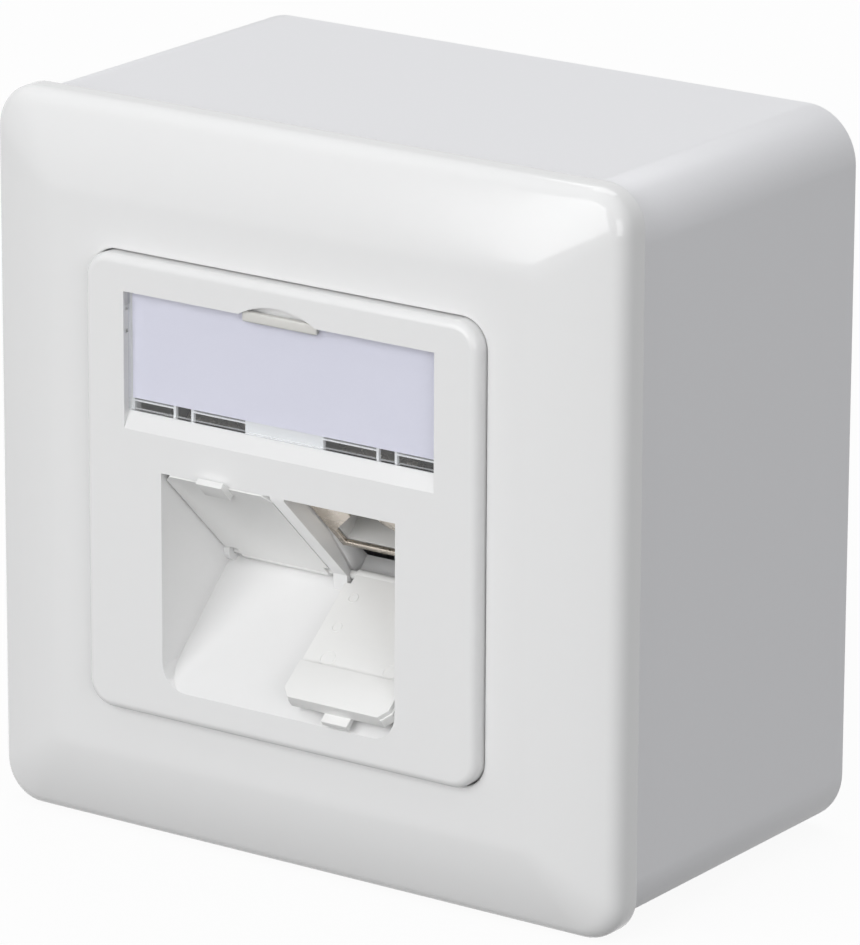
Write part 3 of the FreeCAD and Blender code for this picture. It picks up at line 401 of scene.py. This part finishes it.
def shell_from_rings(name, rings):
    """A closed shell: each ring is joined to the next one, and the last ring to the first."""
    count = len(rings[0])
    vertices = [point for ring in rings for point in ring]
    faces = []
    for row in range(len(rings)):
        below = row * count
        above = ((row + 1) % len(rings)) * count
        for column in range(count):
            following = (column + 1) % count
            faces.append((below + column, below + following, above + following, above + column))
    mesh = bpy.data.meshes.new(name)
    mesh.from_pydata(vertices, [], faces)
    shell = bmesh.new()
    shell.from_mesh(mesh)
    bmesh.ops.recalc_face_normals(shell, faces=shell.faces)
    shell.to_mesh(mesh)
    shell.free()
    return mesh


# %% Build the cover frame
BEVEL_WIDTH = 9.83 * MM
CREASE_ANGLE = math.radians(8)
CREASE_WIDTH = 1.0 * MM
BEVEL_ANGLE = math.radians(24)
RIM_RADIUS = 2.4 * MM
RIM_CORNER = 4.5 * MM
FLAT_CORNER = 0.8 * MM
EDGE_ROUND = 0.25 * MM
PLATE_GAP = 0.15 * MM
WINDOW = PLATE_HALF + PLATE_GAP
WINDOW_CORNER = 3.15 * MM
FLAT_INNER_CORNER = 3.5 * MM
CREASE_STEPS = 5
BEVEL_STEPS = 12
RIM_STEPS = 14
FLAT_STEPS = 5
ROUND_STEPS = 4

SHELL_WALL = 2.2 * MM
LEDGE_REACH = 1.2 * MM
LEDGE_BACK = 1.3 * MM
WINDOW_WALL = 1.4 * MM
POCKET_HALF = 33.2 * MM
SKIRT_HALF = 37.8 * MM


def bevel_section():
    """The outer section from the rim's side to the flat, as (half width, y) pairs.

    The bevel starts at the flat with a soft crease and gets steeper all the way to the rim.
    """
    slope_end = FRAME_HALF - RIM_RADIUS * (1 - math.sin(BEVEL_ANGLE))
    across = FRAME_HALF - BEVEL_WIDTH
    y = FLAT_Y
    slope = [(across, y)]
    slope_width = slope_end - across - CREASE_WIDTH
    for step in range(CREASE_STEPS):
        angle = CREASE_ANGLE * (step + 0.5) / CREASE_STEPS
        across += CREASE_WIDTH / CREASE_STEPS
        y += CREASE_WIDTH / CREASE_STEPS * math.tan(angle)
        slope.append((across, y))
    for step in range(BEVEL_STEPS):
        angle = CREASE_ANGLE + (BEVEL_ANGLE - CREASE_ANGLE) * (step + 0.5) / BEVEL_STEPS
        across += slope_width / BEVEL_STEPS
        y += slope_width / BEVEL_STEPS * math.tan(angle)
        slope.append((across, y))
    rim_centre = y + RIM_RADIUS * math.cos(BEVEL_ANGLE)
    rim = []
    for step in range(RIM_STEPS):
        turned = math.radians(90) + (BEVEL_ANGLE - math.radians(90)) * step / RIM_STEPS
        rim.append((FRAME_HALF - RIM_RADIUS * (1 - math.sin(turned)),
                    rim_centre - RIM_RADIUS * math.cos(turned)))
    return rim + slope[::-1]


def round_step(corner_half, corner_y, outward, forward):
    """A small quarter round at the corner of a section. The two signs say which way it bulges."""
    pairs = []
    for step in range(ROUND_STEPS + 1):
        angle = math.radians(90) * step / ROUND_STEPS
        pairs.append((corner_half + outward * EDGE_ROUND * (math.sin(angle) - 1),
                      corner_y + forward * EDGE_ROUND * (1 - math.cos(angle))))
    return pairs


def frame_section():
    """The whole closed section of the frame, as (half width, y, corner radius)."""
    section = []

    def radius_at(half):
        inset = min(1.0, max(0.0, (FRAME_HALF - half) / BEVEL_WIDTH))
        return RIM_CORNER + (FLAT_CORNER - RIM_CORNER) * inset

    for half, y in round_step(FRAME_HALF, SEAM_Y, 1, -1):
        section.append((half, y, RIM_CORNER - (FRAME_HALF - half)))
    for half, y in bevel_section():
        section.append((half, y, radius_at(half)))
    flat_start = FRAME_HALF - BEVEL_WIDTH
    flat_end = WINDOW + EDGE_ROUND
    for step in range(1, FLAT_STEPS + 1):
        share = step / FLAT_STEPS
        section.append((flat_start + (flat_end - flat_start) * share, FLAT_Y,
                        FLAT_CORNER + (FLAT_INNER_CORNER - FLAT_CORNER) * share))
    for step in range(1, ROUND_STEPS + 1):
        angle = math.radians(90) * step / ROUND_STEPS
        inset = EDGE_ROUND * (1 - math.sin(angle))
        section.append((WINDOW + inset, FLAT_Y + EDGE_ROUND * (1 - math.cos(angle)), WINDOW_CORNER + inset))
    ledge_front = SEAM_Y - SHELL_WALL
    ledge_back = SEAM_Y - LEDGE_BACK
    pocket_floor = FLAT_Y + SHELL_WALL
    inner = [(WINDOW, ledge_front, 3.15), (WINDOW - LEDGE_REACH, ledge_front, 3.0),
             (WINDOW - LEDGE_REACH, ledge_back, 3.0), (WINDOW + WINDOW_WALL, ledge_back, 4.4),
             (WINDOW + WINDOW_WALL, pocket_floor, 4.4), (POCKET_HALF, pocket_floor, 1.2),
             (POCKET_HALF, ledge_front, 1.2), (SKIRT_HALF, ledge_front, 3.3), (SKIRT_HALF, SEAM_Y, 3.3)]
    section += [(half, y, radius * MM) for half, y, radius in inner]
    return section


rings = [square_ring(half, radius, y) for half, y, radius in frame_section()]
cover_frame = add_piece("cover_frame_shell", shell_from_rings("cover_frame_shell", rings),
                        "cover_frame", gloss_white)
print("cover frame:", len(cover_frame.data.polygons), "faces")

# %% [markdown]
# ## The centre plate
#
# The plate is one moulding: a raised square with soft edges, the label window with its scoop, and the
# recess in front of the ports. The solid has all of that with sharp edges. A moulded edge is never
# sharp, and how round it is differs from place to place: nearly crisp round the window, wide where the
# recess runs out into the face, and a broad fillet where its side walls meet the sloping floor. So each
# kind of edge is picked by where it lies and gets its own radius.
#
# Two things are finer than the solid. Behind the slots along the foot of the window the plate is thin,
# so they open onto the casting behind it, and they look black partly from that depth and partly because
# the casting's colour is painted shade. Each side wall of the window has two little pockets beside the
# cover's latch. Both are taken out with a Boolean.

# %% Helper: take blocks out of a mesh
def block_mesh(name, blocks):
    """A mesh of boxes. A block is its lowest and its highest corner, in metres."""
    shell = bmesh.new()
    for low, high in blocks:
        centre = (Vector(low) + Vector(high)) / 2
        size = Vector(high) - Vector(low)
        place = Matrix.Translation(centre) @ Matrix.Diagonal((*size, 1))
        bmesh.ops.create_cube(shell, size=1, matrix=place)
    mesh = bpy.data.meshes.new(name)
    shell.to_mesh(mesh)
    shell.free()
    return mesh


def cut_blocks(mesh, blocks):
    """A copy of the mesh with the blocks taken out."""
    tool = bpy.data.objects.new("blocks", block_mesh("blocks", blocks))
    target = bpy.data.objects.new("target", mesh)
    for item in (tool, target):
        bpy.context.scene.collection.objects.link(item)
    taking = target.modifiers.new("take_out", "BOOLEAN")
    taking.operation = "DIFFERENCE"
    taking.solver = "EXACT"
    taking.object = tool
    graph = bpy.context.evaluated_depsgraph_get()
    result = bpy.data.meshes.new_from_object(target.evaluated_get(graph))
    result.name = mesh.name
    for item in (tool, target):
        bpy.data.objects.remove(item)
    return result


# %% Cut the thin places and the latch pockets
paper_low, paper_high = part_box("label_paper")
cover_low, cover_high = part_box("label_cover")
BED_Y = paper_high.y
COVER_GAP = 0.15 * MM
WINDOW_HALF = cover_high.x + COVER_GAP
WINDOW_LOW = cover_low.z - COVER_GAP
WINDOW_HIGH = paper_high.z + 0.3 * MM

THIN_WALL = 0.4 * MM
BED_BACK = BED_Y + 1.8 * MM
THIN_START = 4.2 * MM
THIN_END = 19.75 * MM
THIN_BELOW = 0.7 * MM
THIN_ABOVE = 2.0 * MM
LATCH_POCKETS = ((1.6 * MM, 0.55 * MM), (4.2 * MM, 0.4 * MM))
POCKET_DEPTH = 0.8 * MM
POCKET_OVERLAP = 0.1 * MM
POCKET_SETBACK = 0.35 * MM

plate_mesh = welded_copy("centre_plate")
blocks = []
for side in (-1, 1):
    near, far = sorted((side * THIN_START, side * THIN_END))
    blocks.append(((near, BED_Y + THIN_WALL, WINDOW_LOW - THIN_BELOW),
                   (far, BED_BACK, WINDOW_LOW + THIN_ABOVE)))
    near, far = sorted((side * (WINDOW_HALF - POCKET_OVERLAP), side * (WINDOW_HALF + POCKET_DEPTH)))
    for drop, height in LATCH_POCKETS:
        top = WINDOW_HIGH - drop
        blocks.append(((near, FRONT_Y + POCKET_SETBACK, top - height), (far, BED_Y - POCKET_OVERLAP, top)))
plate_mesh = cut_blocks(plate_mesh, blocks)
print("centre plate:", len(blocks), "blocks taken out")

# %% Round the plate's edges, each kind with its own radius
RECESS_HALF = 15.0 * MM
RECESS_LOW = -21.5 * MM
RECESS_CORNER = 3.0 * MM
BELOW_WINDOW = 5.0 * MM
CREASE_REACH = 4.0 * MM
SAME = 0.02 * MM


def on_face(*points):
    """True for points in the plane of the plate's face."""
    return all(abs(point.y - FRONT_Y) < SAME for point in points)


def floor_crease(first, second):
    """True for the long creases between the recess's floor and its two side walls."""
    beside = all(abs(abs(point.x) - RECESS_HALF) < SAME for point in (first, second))
    reach = first - second
    return beside and abs(reach.y) > CREASE_REACH and abs(reach.z) > CREASE_REACH


def recess_foot(first, second):
    """True for the recess's lower edge, round corners included."""
    low = max(first.z, second.z) < RECESS_LOW + RECESS_CORNER + SAME
    inside = max(abs(first.x), abs(second.x)) < RECESS_HALF + SAME
    return on_face(first, second) and low and inside


def recess_rim(first, second):
    """True for the other edges of the recess in the plate's face."""
    inside = max(abs(first.x), abs(second.x)) < RECESS_HALF + SAME
    return on_face(first, second) and inside and max(first.z, second.z) < BELOW_WINDOW


# The widest comes first, and the last round takes what is still sharp in the face, which is the window.
for width, chosen in ((2.0, floor_crease), (0.9, recess_foot), (0.3, recess_rim), (0.15, on_face)):
    soften(plate_mesh, width, chosen)
plate_skin = add_piece("centre_plate_skin", plate_mesh, "centre_plate", plate_white)
print("centre plate:", len(plate_skin.data.polygons), "faces")

# %% [markdown]
# ## The dust flaps
#
# Each flap is a thin moulded panel on a hinge pin, with a thicker lip at its tip and a small tab to
# catch a fingernail. Its edges are rounded a little. The tip reaches almost to the plate, so it is drawn
# out by a little more than a tenth of a millimetre, which leaves only a dark line there.

# %% Where the ports and the hinges are
joints = {joint["child"]: joint for joint in frame["record"]["behaviour"]["joints"]}
HINGE = Vector(joints["left_flap"]["pos_m"])
PORT_SHIFT = abs(HINGE.x)
PORT_TILT = math.radians(44.3)
OPEN_TURN = math.radians(joints["left_flap"]["range_deg"][1])
FLAP_REACH = 16.35 * MM
TIP_GROWTH = 0.14 * MM
AT_TIP = 0.05 * MM


def port_frame(side, turned=0.0):
    """From (across, along, outwards) in a port's plane to the object's own space."""
    along = Vector((0, -math.cos(PORT_TILT), math.sin(PORT_TILT)))
    out = Vector((0, -math.sin(PORT_TILT), -math.cos(PORT_TILT)))
    basis = Matrix((Vector((1, 0, 0)), along, out)).transposed()
    spin = Matrix.Rotation(turned, 3, "X")
    place = (spin @ basis).to_4x4()
    place.translation = Vector((side * PORT_SHIFT, HINGE.y, HINGE.z))
    return place


FLAP_PLACES = {"left_dust_flap": port_frame(-1), "right_dust_flap": port_frame(1, OPEN_TURN)}
print("hinge:", [round(value / MM, 2) for value in HINGE])

# %% Make the flaps
for node, place in FLAP_PLACES.items():
    mesh = welded_copy(node)
    back = place.inverted()
    for vertex in mesh.vertices:
        local = back @ vertex.co
        if abs(local.y - FLAP_REACH) < AT_TIP:
            local.y += TIP_GROWTH
            vertex.co = place @ local
    soften(mesh, 0.2)
    flap = add_piece(f"{node}_skin", mesh, node, flap_white)
    print(node, len(flap.data.polygons), "faces")

# %% [markdown]
# ## Ejector marks
#
# Where the pins of a mould push a moulding out, they leave faint rings. The flap's inner side has six:
# a pair of small ones along each side and two larger ones beside the lip. They repeat with a
# rule, so Geometry Nodes make them: a row of points with a ring on each, and the count, the step and the
# radii as inputs. The tree ends in Realize Instances and Set Material, and its result becomes a plain
# mesh on the flap's body.

# %% Helper: the parts that both node trees share
def new_row_tree(name, sizes, takes_mesh=False):
    """A tree with a Count, a row of points and named sizes. Returns it with its input node."""
    tree = bpy.data.node_groups.new(name, "GeometryNodeTree")
    if takes_mesh:
        tree.interface.new_socket("Geometry", in_out="INPUT", socket_type="NodeSocketGeometry")
    for label, kind, value in sizes:
        item = tree.interface.new_socket(label, in_out="INPUT", socket_type=kind)
        item.default_value = value
    tree.interface.new_socket("Finish", in_out="INPUT", socket_type="NodeSocketMaterial")
    tree.interface.new_socket("Geometry", in_out="OUTPUT", socket_type="NodeSocketGeometry")
    return tree, tree.nodes.new("NodeGroupInput")


def link_all(tree, pairs):
    for source, target in pairs:
        tree.links.new(source, target)


def sweep_and_repeat(tree, given, path, step_name, wire_sides, closed_ends=False):
    """Sweeps a circle along the path, repeats it along a row of points and gives it its finish."""
    wire = tree.nodes.new("GeometryNodeCurvePrimitiveCircle")
    sweep = tree.nodes.new("GeometryNodeCurveToMesh")
    row = tree.nodes.new("GeometryNodeMeshLine")
    copies = tree.nodes.new("GeometryNodeInstanceOnPoints")
    real = tree.nodes.new("GeometryNodeRealizeInstances")
    finish = tree.nodes.new("GeometryNodeSetMaterial")
    result = tree.nodes.new("NodeGroupOutput")
    wire.inputs["Resolution"].default_value = wire_sides
    sweep.inputs["Fill Caps"].default_value = closed_ends
    link_all(tree, ((path, sweep.inputs["Curve"]),
                    (given.outputs["Wire Radius"], wire.inputs["Radius"]),
                    (wire.outputs["Curve"], sweep.inputs["Profile Curve"]),
                    (given.outputs["Count"], row.inputs["Count"]),
                    (given.outputs[step_name], row.inputs["Offset"]),
                    (row.outputs["Mesh"], copies.inputs["Points"]),
                    (sweep.outputs["Mesh"], copies.inputs["Instance"]),
                    (copies.outputs["Instances"], real.inputs["Geometry"]),
                    (real.outputs["Geometry"], finish.inputs["Geometry"]),
                    (given.outputs["Finish"], finish.inputs["Material"]),
                    (finish.outputs["Geometry"], result.inputs["Geometry"])))


# %% Build the node tree for a row of rings
ring_row, given = new_row_tree("ring_row", (("Count", "NodeSocketInt", 2),
                                            ("Step", "NodeSocketVector", (0.0, 1.0 * MM, 0.0)),
                                            ("Ring Radius", "NodeSocketFloat", 0.5 * MM),
                                            ("Wire Radius", "NodeSocketFloat", 0.05 * MM)))
ring = ring_row.nodes.new("GeometryNodeCurvePrimitiveCircle")
ring.inputs["Resolution"].default_value = 32
ring_row.links.new(given.outputs["Ring Radius"], ring.inputs["Radius"])
sweep_and_repeat(ring_row, given, ring.outputs["Curve"], "Step", wire_sides=8)
print("ring_row:", len(ring_row.nodes), "nodes")


# %% Helper: a plain mesh from a node tree
def baked(name, tree, start=None, **inputs):
    """The mesh that a node tree makes with these inputs, as a plain mesh with no modifier."""
    carrier = bpy.data.objects.new(name, start or bpy.data.meshes.new(name))
    bpy.context.scene.collection.objects.link(carrier)
    modifier = carrier.modifiers.new(name, "NODES")
    modifier.node_group = tree
    keys = {item.name: item.identifier for item in tree.interface.items_tree if item.in_out == "INPUT"}
    for label, value in inputs.items():
        modifier[keys[label.replace("_", " ")]] = value  # by identifier, before the first evaluation
    graph = bpy.context.evaluated_depsgraph_get()
    mesh = bpy.data.meshes.new_from_object(carrier.evaluated_get(graph))
    bpy.data.objects.remove(carrier)
    return mesh


def joined(name, parts):
    """One mesh from several (mesh, place) pairs."""
    whole = bmesh.new()
    for mesh, place in parts:
        moved = mesh.copy()
        moved.transform(place)
        whole.from_mesh(moved)
    result = bpy.data.meshes.new(name)
    whole.to_mesh(result)
    whole.free()
    return result


# %% Put the marks on both flaps
INNER_FACE = -0.6 * MM
MARK_WIRE = 0.05 * MM
SMALL_ACROSS = 4.9 * MM
SMALL_ALONG = 3.1 * MM
SMALL_STEP = 3.8 * MM
LARGE_ACROSS = 4.0 * MM
LARGE_ALONG = 10.7 * MM
small_rings = baked("small_rings", ring_row, Count=2, Step=(0.0, SMALL_STEP, 0.0),
                    Ring_Radius=0.55 * MM, Wire_Radius=MARK_WIRE, Finish=flap_white)
large_rings = baked("large_rings", ring_row, Count=2, Step=(2 * LARGE_ACROSS, 0.0, 0.0),
                    Ring_Radius=0.85 * MM, Wire_Radius=MARK_WIRE, Finish=flap_white)
for node, place in FLAP_PLACES.items():
    parts = [(small_rings, place @ Matrix.Translation((across, SMALL_ALONG, INNER_FACE)))
             for across in (-SMALL_ACROSS, SMALL_ACROSS)]
    parts.append((large_rings, place @ Matrix.Translation((-LARGE_ACROSS, LARGE_ALONG, INNER_FACE))))
    marks = add_piece(f"{node}_marks", joined(f"{node}_marks", parts), node, flap_white)
    print(node, "marks:", len(marks.data.polygons), "faces")

# %% [markdown]
# ## The spring contacts
#
# Eight gilt wires lie side by side in each jack. The solids have square wires with sharp knees. Real
# ones are round wire bent over a former, so a second tree rounds the knees of one centre line, sweeps a
# circle along it and repeats it at the contact pitch.

# %% Build the node tree for a row of bent wires
wire_row, given = new_row_tree("wire_row", (("Count", "NodeSocketInt", 8),
                                            ("Pitch", "NodeSocketVector", (1.02 * MM, 0.0, 0.0)),
                                            ("Bend Radius", "NodeSocketFloat", 0.8 * MM),
                                            ("Wire Radius", "NodeSocketFloat", 0.18 * MM)),
                               takes_mesh=True)
line = wire_row.nodes.new("GeometryNodeMeshToCurve")
bend = wire_row.nodes.new("GeometryNodeFilletCurve")
bend.mode = "POLY"
bend.inputs["Count"].default_value = 6
link_all(wire_row, ((given.outputs["Geometry"], line.inputs["Mesh"]),
                    (line.outputs["Curve"], bend.inputs["Curve"]),
                    (given.outputs["Bend Radius"], bend.inputs["Radius"])))
sweep_and_repeat(wire_row, given, bend.outputs["Curve"], "Pitch", wire_sides=12, closed_ends=True)
print("wire_row:", len(wire_row.nodes), "nodes")

# %% Lay the contacts in both jacks
CONTACTS = 8
CONTACT_PITCH = 1.02 * MM
centre_line = bpy.data.meshes.new("contact_line")
route = [(0, 9.85, -4.75), (0, 8.35, -13.3), (0, 8.35, -16.25)]
centre_line.from_pydata([tuple(value * MM for value in point) for point in route], [(0, 1), (1, 2)], [])
wires = baked("wires", wire_row, start=centre_line, Count=CONTACTS, Pitch=(CONTACT_PITCH, 0.0, 0.0),
              Bend_Radius=0.8 * MM, Wire_Radius=0.18 * MM, Finish=finishes["contact_gold"])
first_wire = Matrix.Translation((-CONTACT_PITCH * (CONTACTS - 1) / 2, 0, 0))
for side, name in ((-1, "left"), (1, "right")):
    mesh = joined(f"{name}_contacts", [(wires, port_frame(side) @ first_wire)])
    contacts = add_piece(f"{name}_contact_wires", mesh, f"{name}_jack_contacts", finishes["contact_gold"])
print("contacts:", len(contacts.data.polygons), "faces a jack")

# %% [markdown]
# ## The label cover and the other shells
#
# The cover is a clear sheet whose grip is frosted, so that it shows in the scoop above the window. The
# rest of the visible pieces keep the shape of their solids, welded, with their sharp edges eased.

# %% Make the clear cover and its frosted grip
GRIP_HALF = 4.75 * MM
GRIP_LOW = WINDOW_HIGH - 0.85 * MM
GRIP_HIGH = WINDOW_HIGH + 0.28 * MM
GRIP_FRONT = FRONT_Y + 0.4 * MM
GRIP_BACK = FRONT_Y + 1.1 * MM
cover_mesh = cut_blocks(welded_copy("label_cover"),
                        [((-GRIP_HALF, FRONT_Y - MM, GRIP_LOW),
                          (GRIP_HALF, BED_Y + MM, WINDOW_HIGH + MM))])
soften(cover_mesh, 0.08)
add_piece("label_cover_sheet", cover_mesh, "label_cover", clear_cover)
grip_mesh = block_mesh("label_grip", [((-GRIP_HALF, GRIP_FRONT, GRIP_LOW),
                                       (GRIP_HALF, GRIP_BACK, GRIP_HIGH))])
soften(grip_mesh, 0.2)
frosted_grip = white_plastic("frosted_grip", (0.74, 0.73, 0.70), 0.35, 0.6, 0.004, 0.06)
add_piece("label_grip", grip_mesh, "label_cover", frosted_grip)

# %% Weld the rest of the visible pieces
SOFTENED = {
    "surface_box": 0.25,
    "left_jack_shield": 0.06,
    "right_jack_shield": 0.06,
    "left_jack_insert": 0.1,
    "right_jack_insert": 0.1,
}
REPLACED = ["cover_frame", "centre_plate", "label_cover", "left_dust_flap", "right_dust_flap",
            "left_jack_contacts", "right_jack_contacts"]
for node, width in SOFTENED.items():
    mesh = soften(welded_copy(node), width)
    piece = add_piece(f"{node}_skin", mesh, node, finishes[slot_of(node)])
    print(node, len(piece.data.polygons), "faces")

# %% Give the hidden pieces their finish
for node, piece in nodes.items():
    if node not in SOFTENED and node not in REPLACED:
        piece.data.materials.clear()
        piece.data.materials.append(finishes[slot_of(node)])

# %% [markdown]
# ## Floor, light and camera
#
# A product picture has the object on white with a soft shadow. The floor and the world show white only
# to the rays that look at them, directly, in a gloss or through something clear. Other rays meet a dim
# floor and a soft sky that is brighter overhead. The floor keeps some plain shading, so it still holds
# the object's shadow.
#
# Three large soft lamps make the shape readable: one in front, one at the front right for the side wall,
# and one above and behind for the top.

# %% The floor
SEEN = ("Is Camera Ray", "Is Glossy Ray", "Is Transmission Ray")
FLOOR_REACH = 4.0
FLOOR_WHITE = 0.93
FLOOR_BOUNCE = 0.10
FLOOR_COLOUR = 0.9

corners = [(-1, -1), (1, -1), (1, 1), (-1, 1)]
floor_mesh = bpy.data.meshes.new("floor")
floor_mesh.from_pydata([(x * FLOOR_REACH, y * FLOOR_REACH, FLOOR_LEVEL) for x, y in corners],
                       [], [(0, 1, 2, 3)])
floor = bpy.data.objects.new("floor", floor_mesh)
bpy.context.scene.collection.objects.link(floor)

pale_floor, tree, shader = new_material("pale_floor")
shader.inputs["Roughness"].default_value = 0.9
seen = either(tree, *SEEN)
shade = tree.nodes.new("ShaderNodeMix")
shade.data_type = "RGBA"
shade.inputs["A"].default_value = (*[FLOOR_BOUNCE] * 3, 1)
shade.inputs["B"].default_value = (*[FLOOR_COLOUR] * 3, 1)
tree.links.new(seen, shade.inputs["Factor"])
tree.links.new(shade.outputs["Result"], shader.inputs["Base Color"])
white = tree.nodes.new("ShaderNodeEmission")
blend_to_output(tree, add_range(tree, seen, 0.0, FLOOR_WHITE), shader.outputs["BSDF"],
                white.outputs["Emission"], "Material Output")
floor_mesh.materials.append(pale_floor)

# %% The world
SKY_HORIZON = 0.38
SKY_ZENITH = 0.56
world = bpy.data.worlds.new("studio")
bpy.context.scene.world = world
world.use_nodes = True
tree = world.node_tree
soft_sky = tree.nodes["Background"]
soft_sky.inputs["Color"].default_value = (0.98, 0.99, 1.0, 1)
coordinates = tree.nodes.new("ShaderNodeTexCoord")
height = tree.nodes.new("ShaderNodeSeparateXYZ")
tree.links.new(coordinates.outputs["Generated"], height.inputs["Vector"])
tree.links.new(add_range(tree, height.outputs["Z"], SKY_HORIZON, SKY_ZENITH), soft_sky.inputs["Strength"])
white = tree.nodes.new("ShaderNodeBackground")
blend_to_output(tree, either(tree, *SEEN), soft_sky.outputs["Background"],
                white.outputs["Background"], "World Output")


# %% The lamps
LAMP_DISTANCE = 1.2


def soft_box(name, direction, size, power):
    """A square lamp that looks at the object from a direction. Its size is in metres."""
    data = bpy.data.lights.new(name, "AREA")
    data.shape = "SQUARE"
    data.size = size
    data.energy = power
    lamp = bpy.data.objects.new(name, data)
    bpy.context.scene.collection.objects.link(lamp)
    aim = Vector(direction).normalized()
    lamp.location = aim * LAMP_DISTANCE
    lamp.rotation_mode = "QUATERNION"
    lamp.rotation_quaternion = (-aim).to_track_quat("-Z", "Y")


soft_box("front", (-0.20, -1.0, 0.41), 0.9, 7.5)
soft_box("front_right", (1.0, -0.75, 0.25), 0.6, 3.0)
soft_box("above", (-0.20, 0.50, 1.0), 0.8, 3.4)

# %% [markdown]
# The camera stands to the right of the object and a little above it, far away with a long lens, which
# keeps the upright edges nearly parallel.

# %% The camera
CAMERA_PLACE = Vector((0.4142, -0.6122, 0.2191))
CAMERA_AZIMUTH = math.radians(35.01)
CAMERA_ELEVATION = math.radians(17.01)
CAMERA_ROLL = math.radians(0.25)
FOCAL_LENGTH = 269.6
camera_data = bpy.data.cameras.new("camera")
camera_data.sensor_width = 36.0
camera_data.lens = FOCAL_LENGTH
camera = bpy.data.objects.new("camera", camera_data)
bpy.context.scene.collection.objects.link(camera)
bpy.context.scene.camera = camera
camera.location = CAMERA_PLACE
ahead = Vector((-math.sin(CAMERA_AZIMUTH) * math.cos(CAMERA_ELEVATION),
                math.cos(CAMERA_AZIMUTH) * math.cos(CAMERA_ELEVATION), -math.sin(CAMERA_ELEVATION)))
camera.rotation_mode = "QUATERNION"
camera.rotation_quaternion = ahead.to_track_quat("-Z", "Y") @ Quaternion((0, 0, 1), CAMERA_ROLL)
bpy.context.scene.view_settings.view_transform = "Standard"
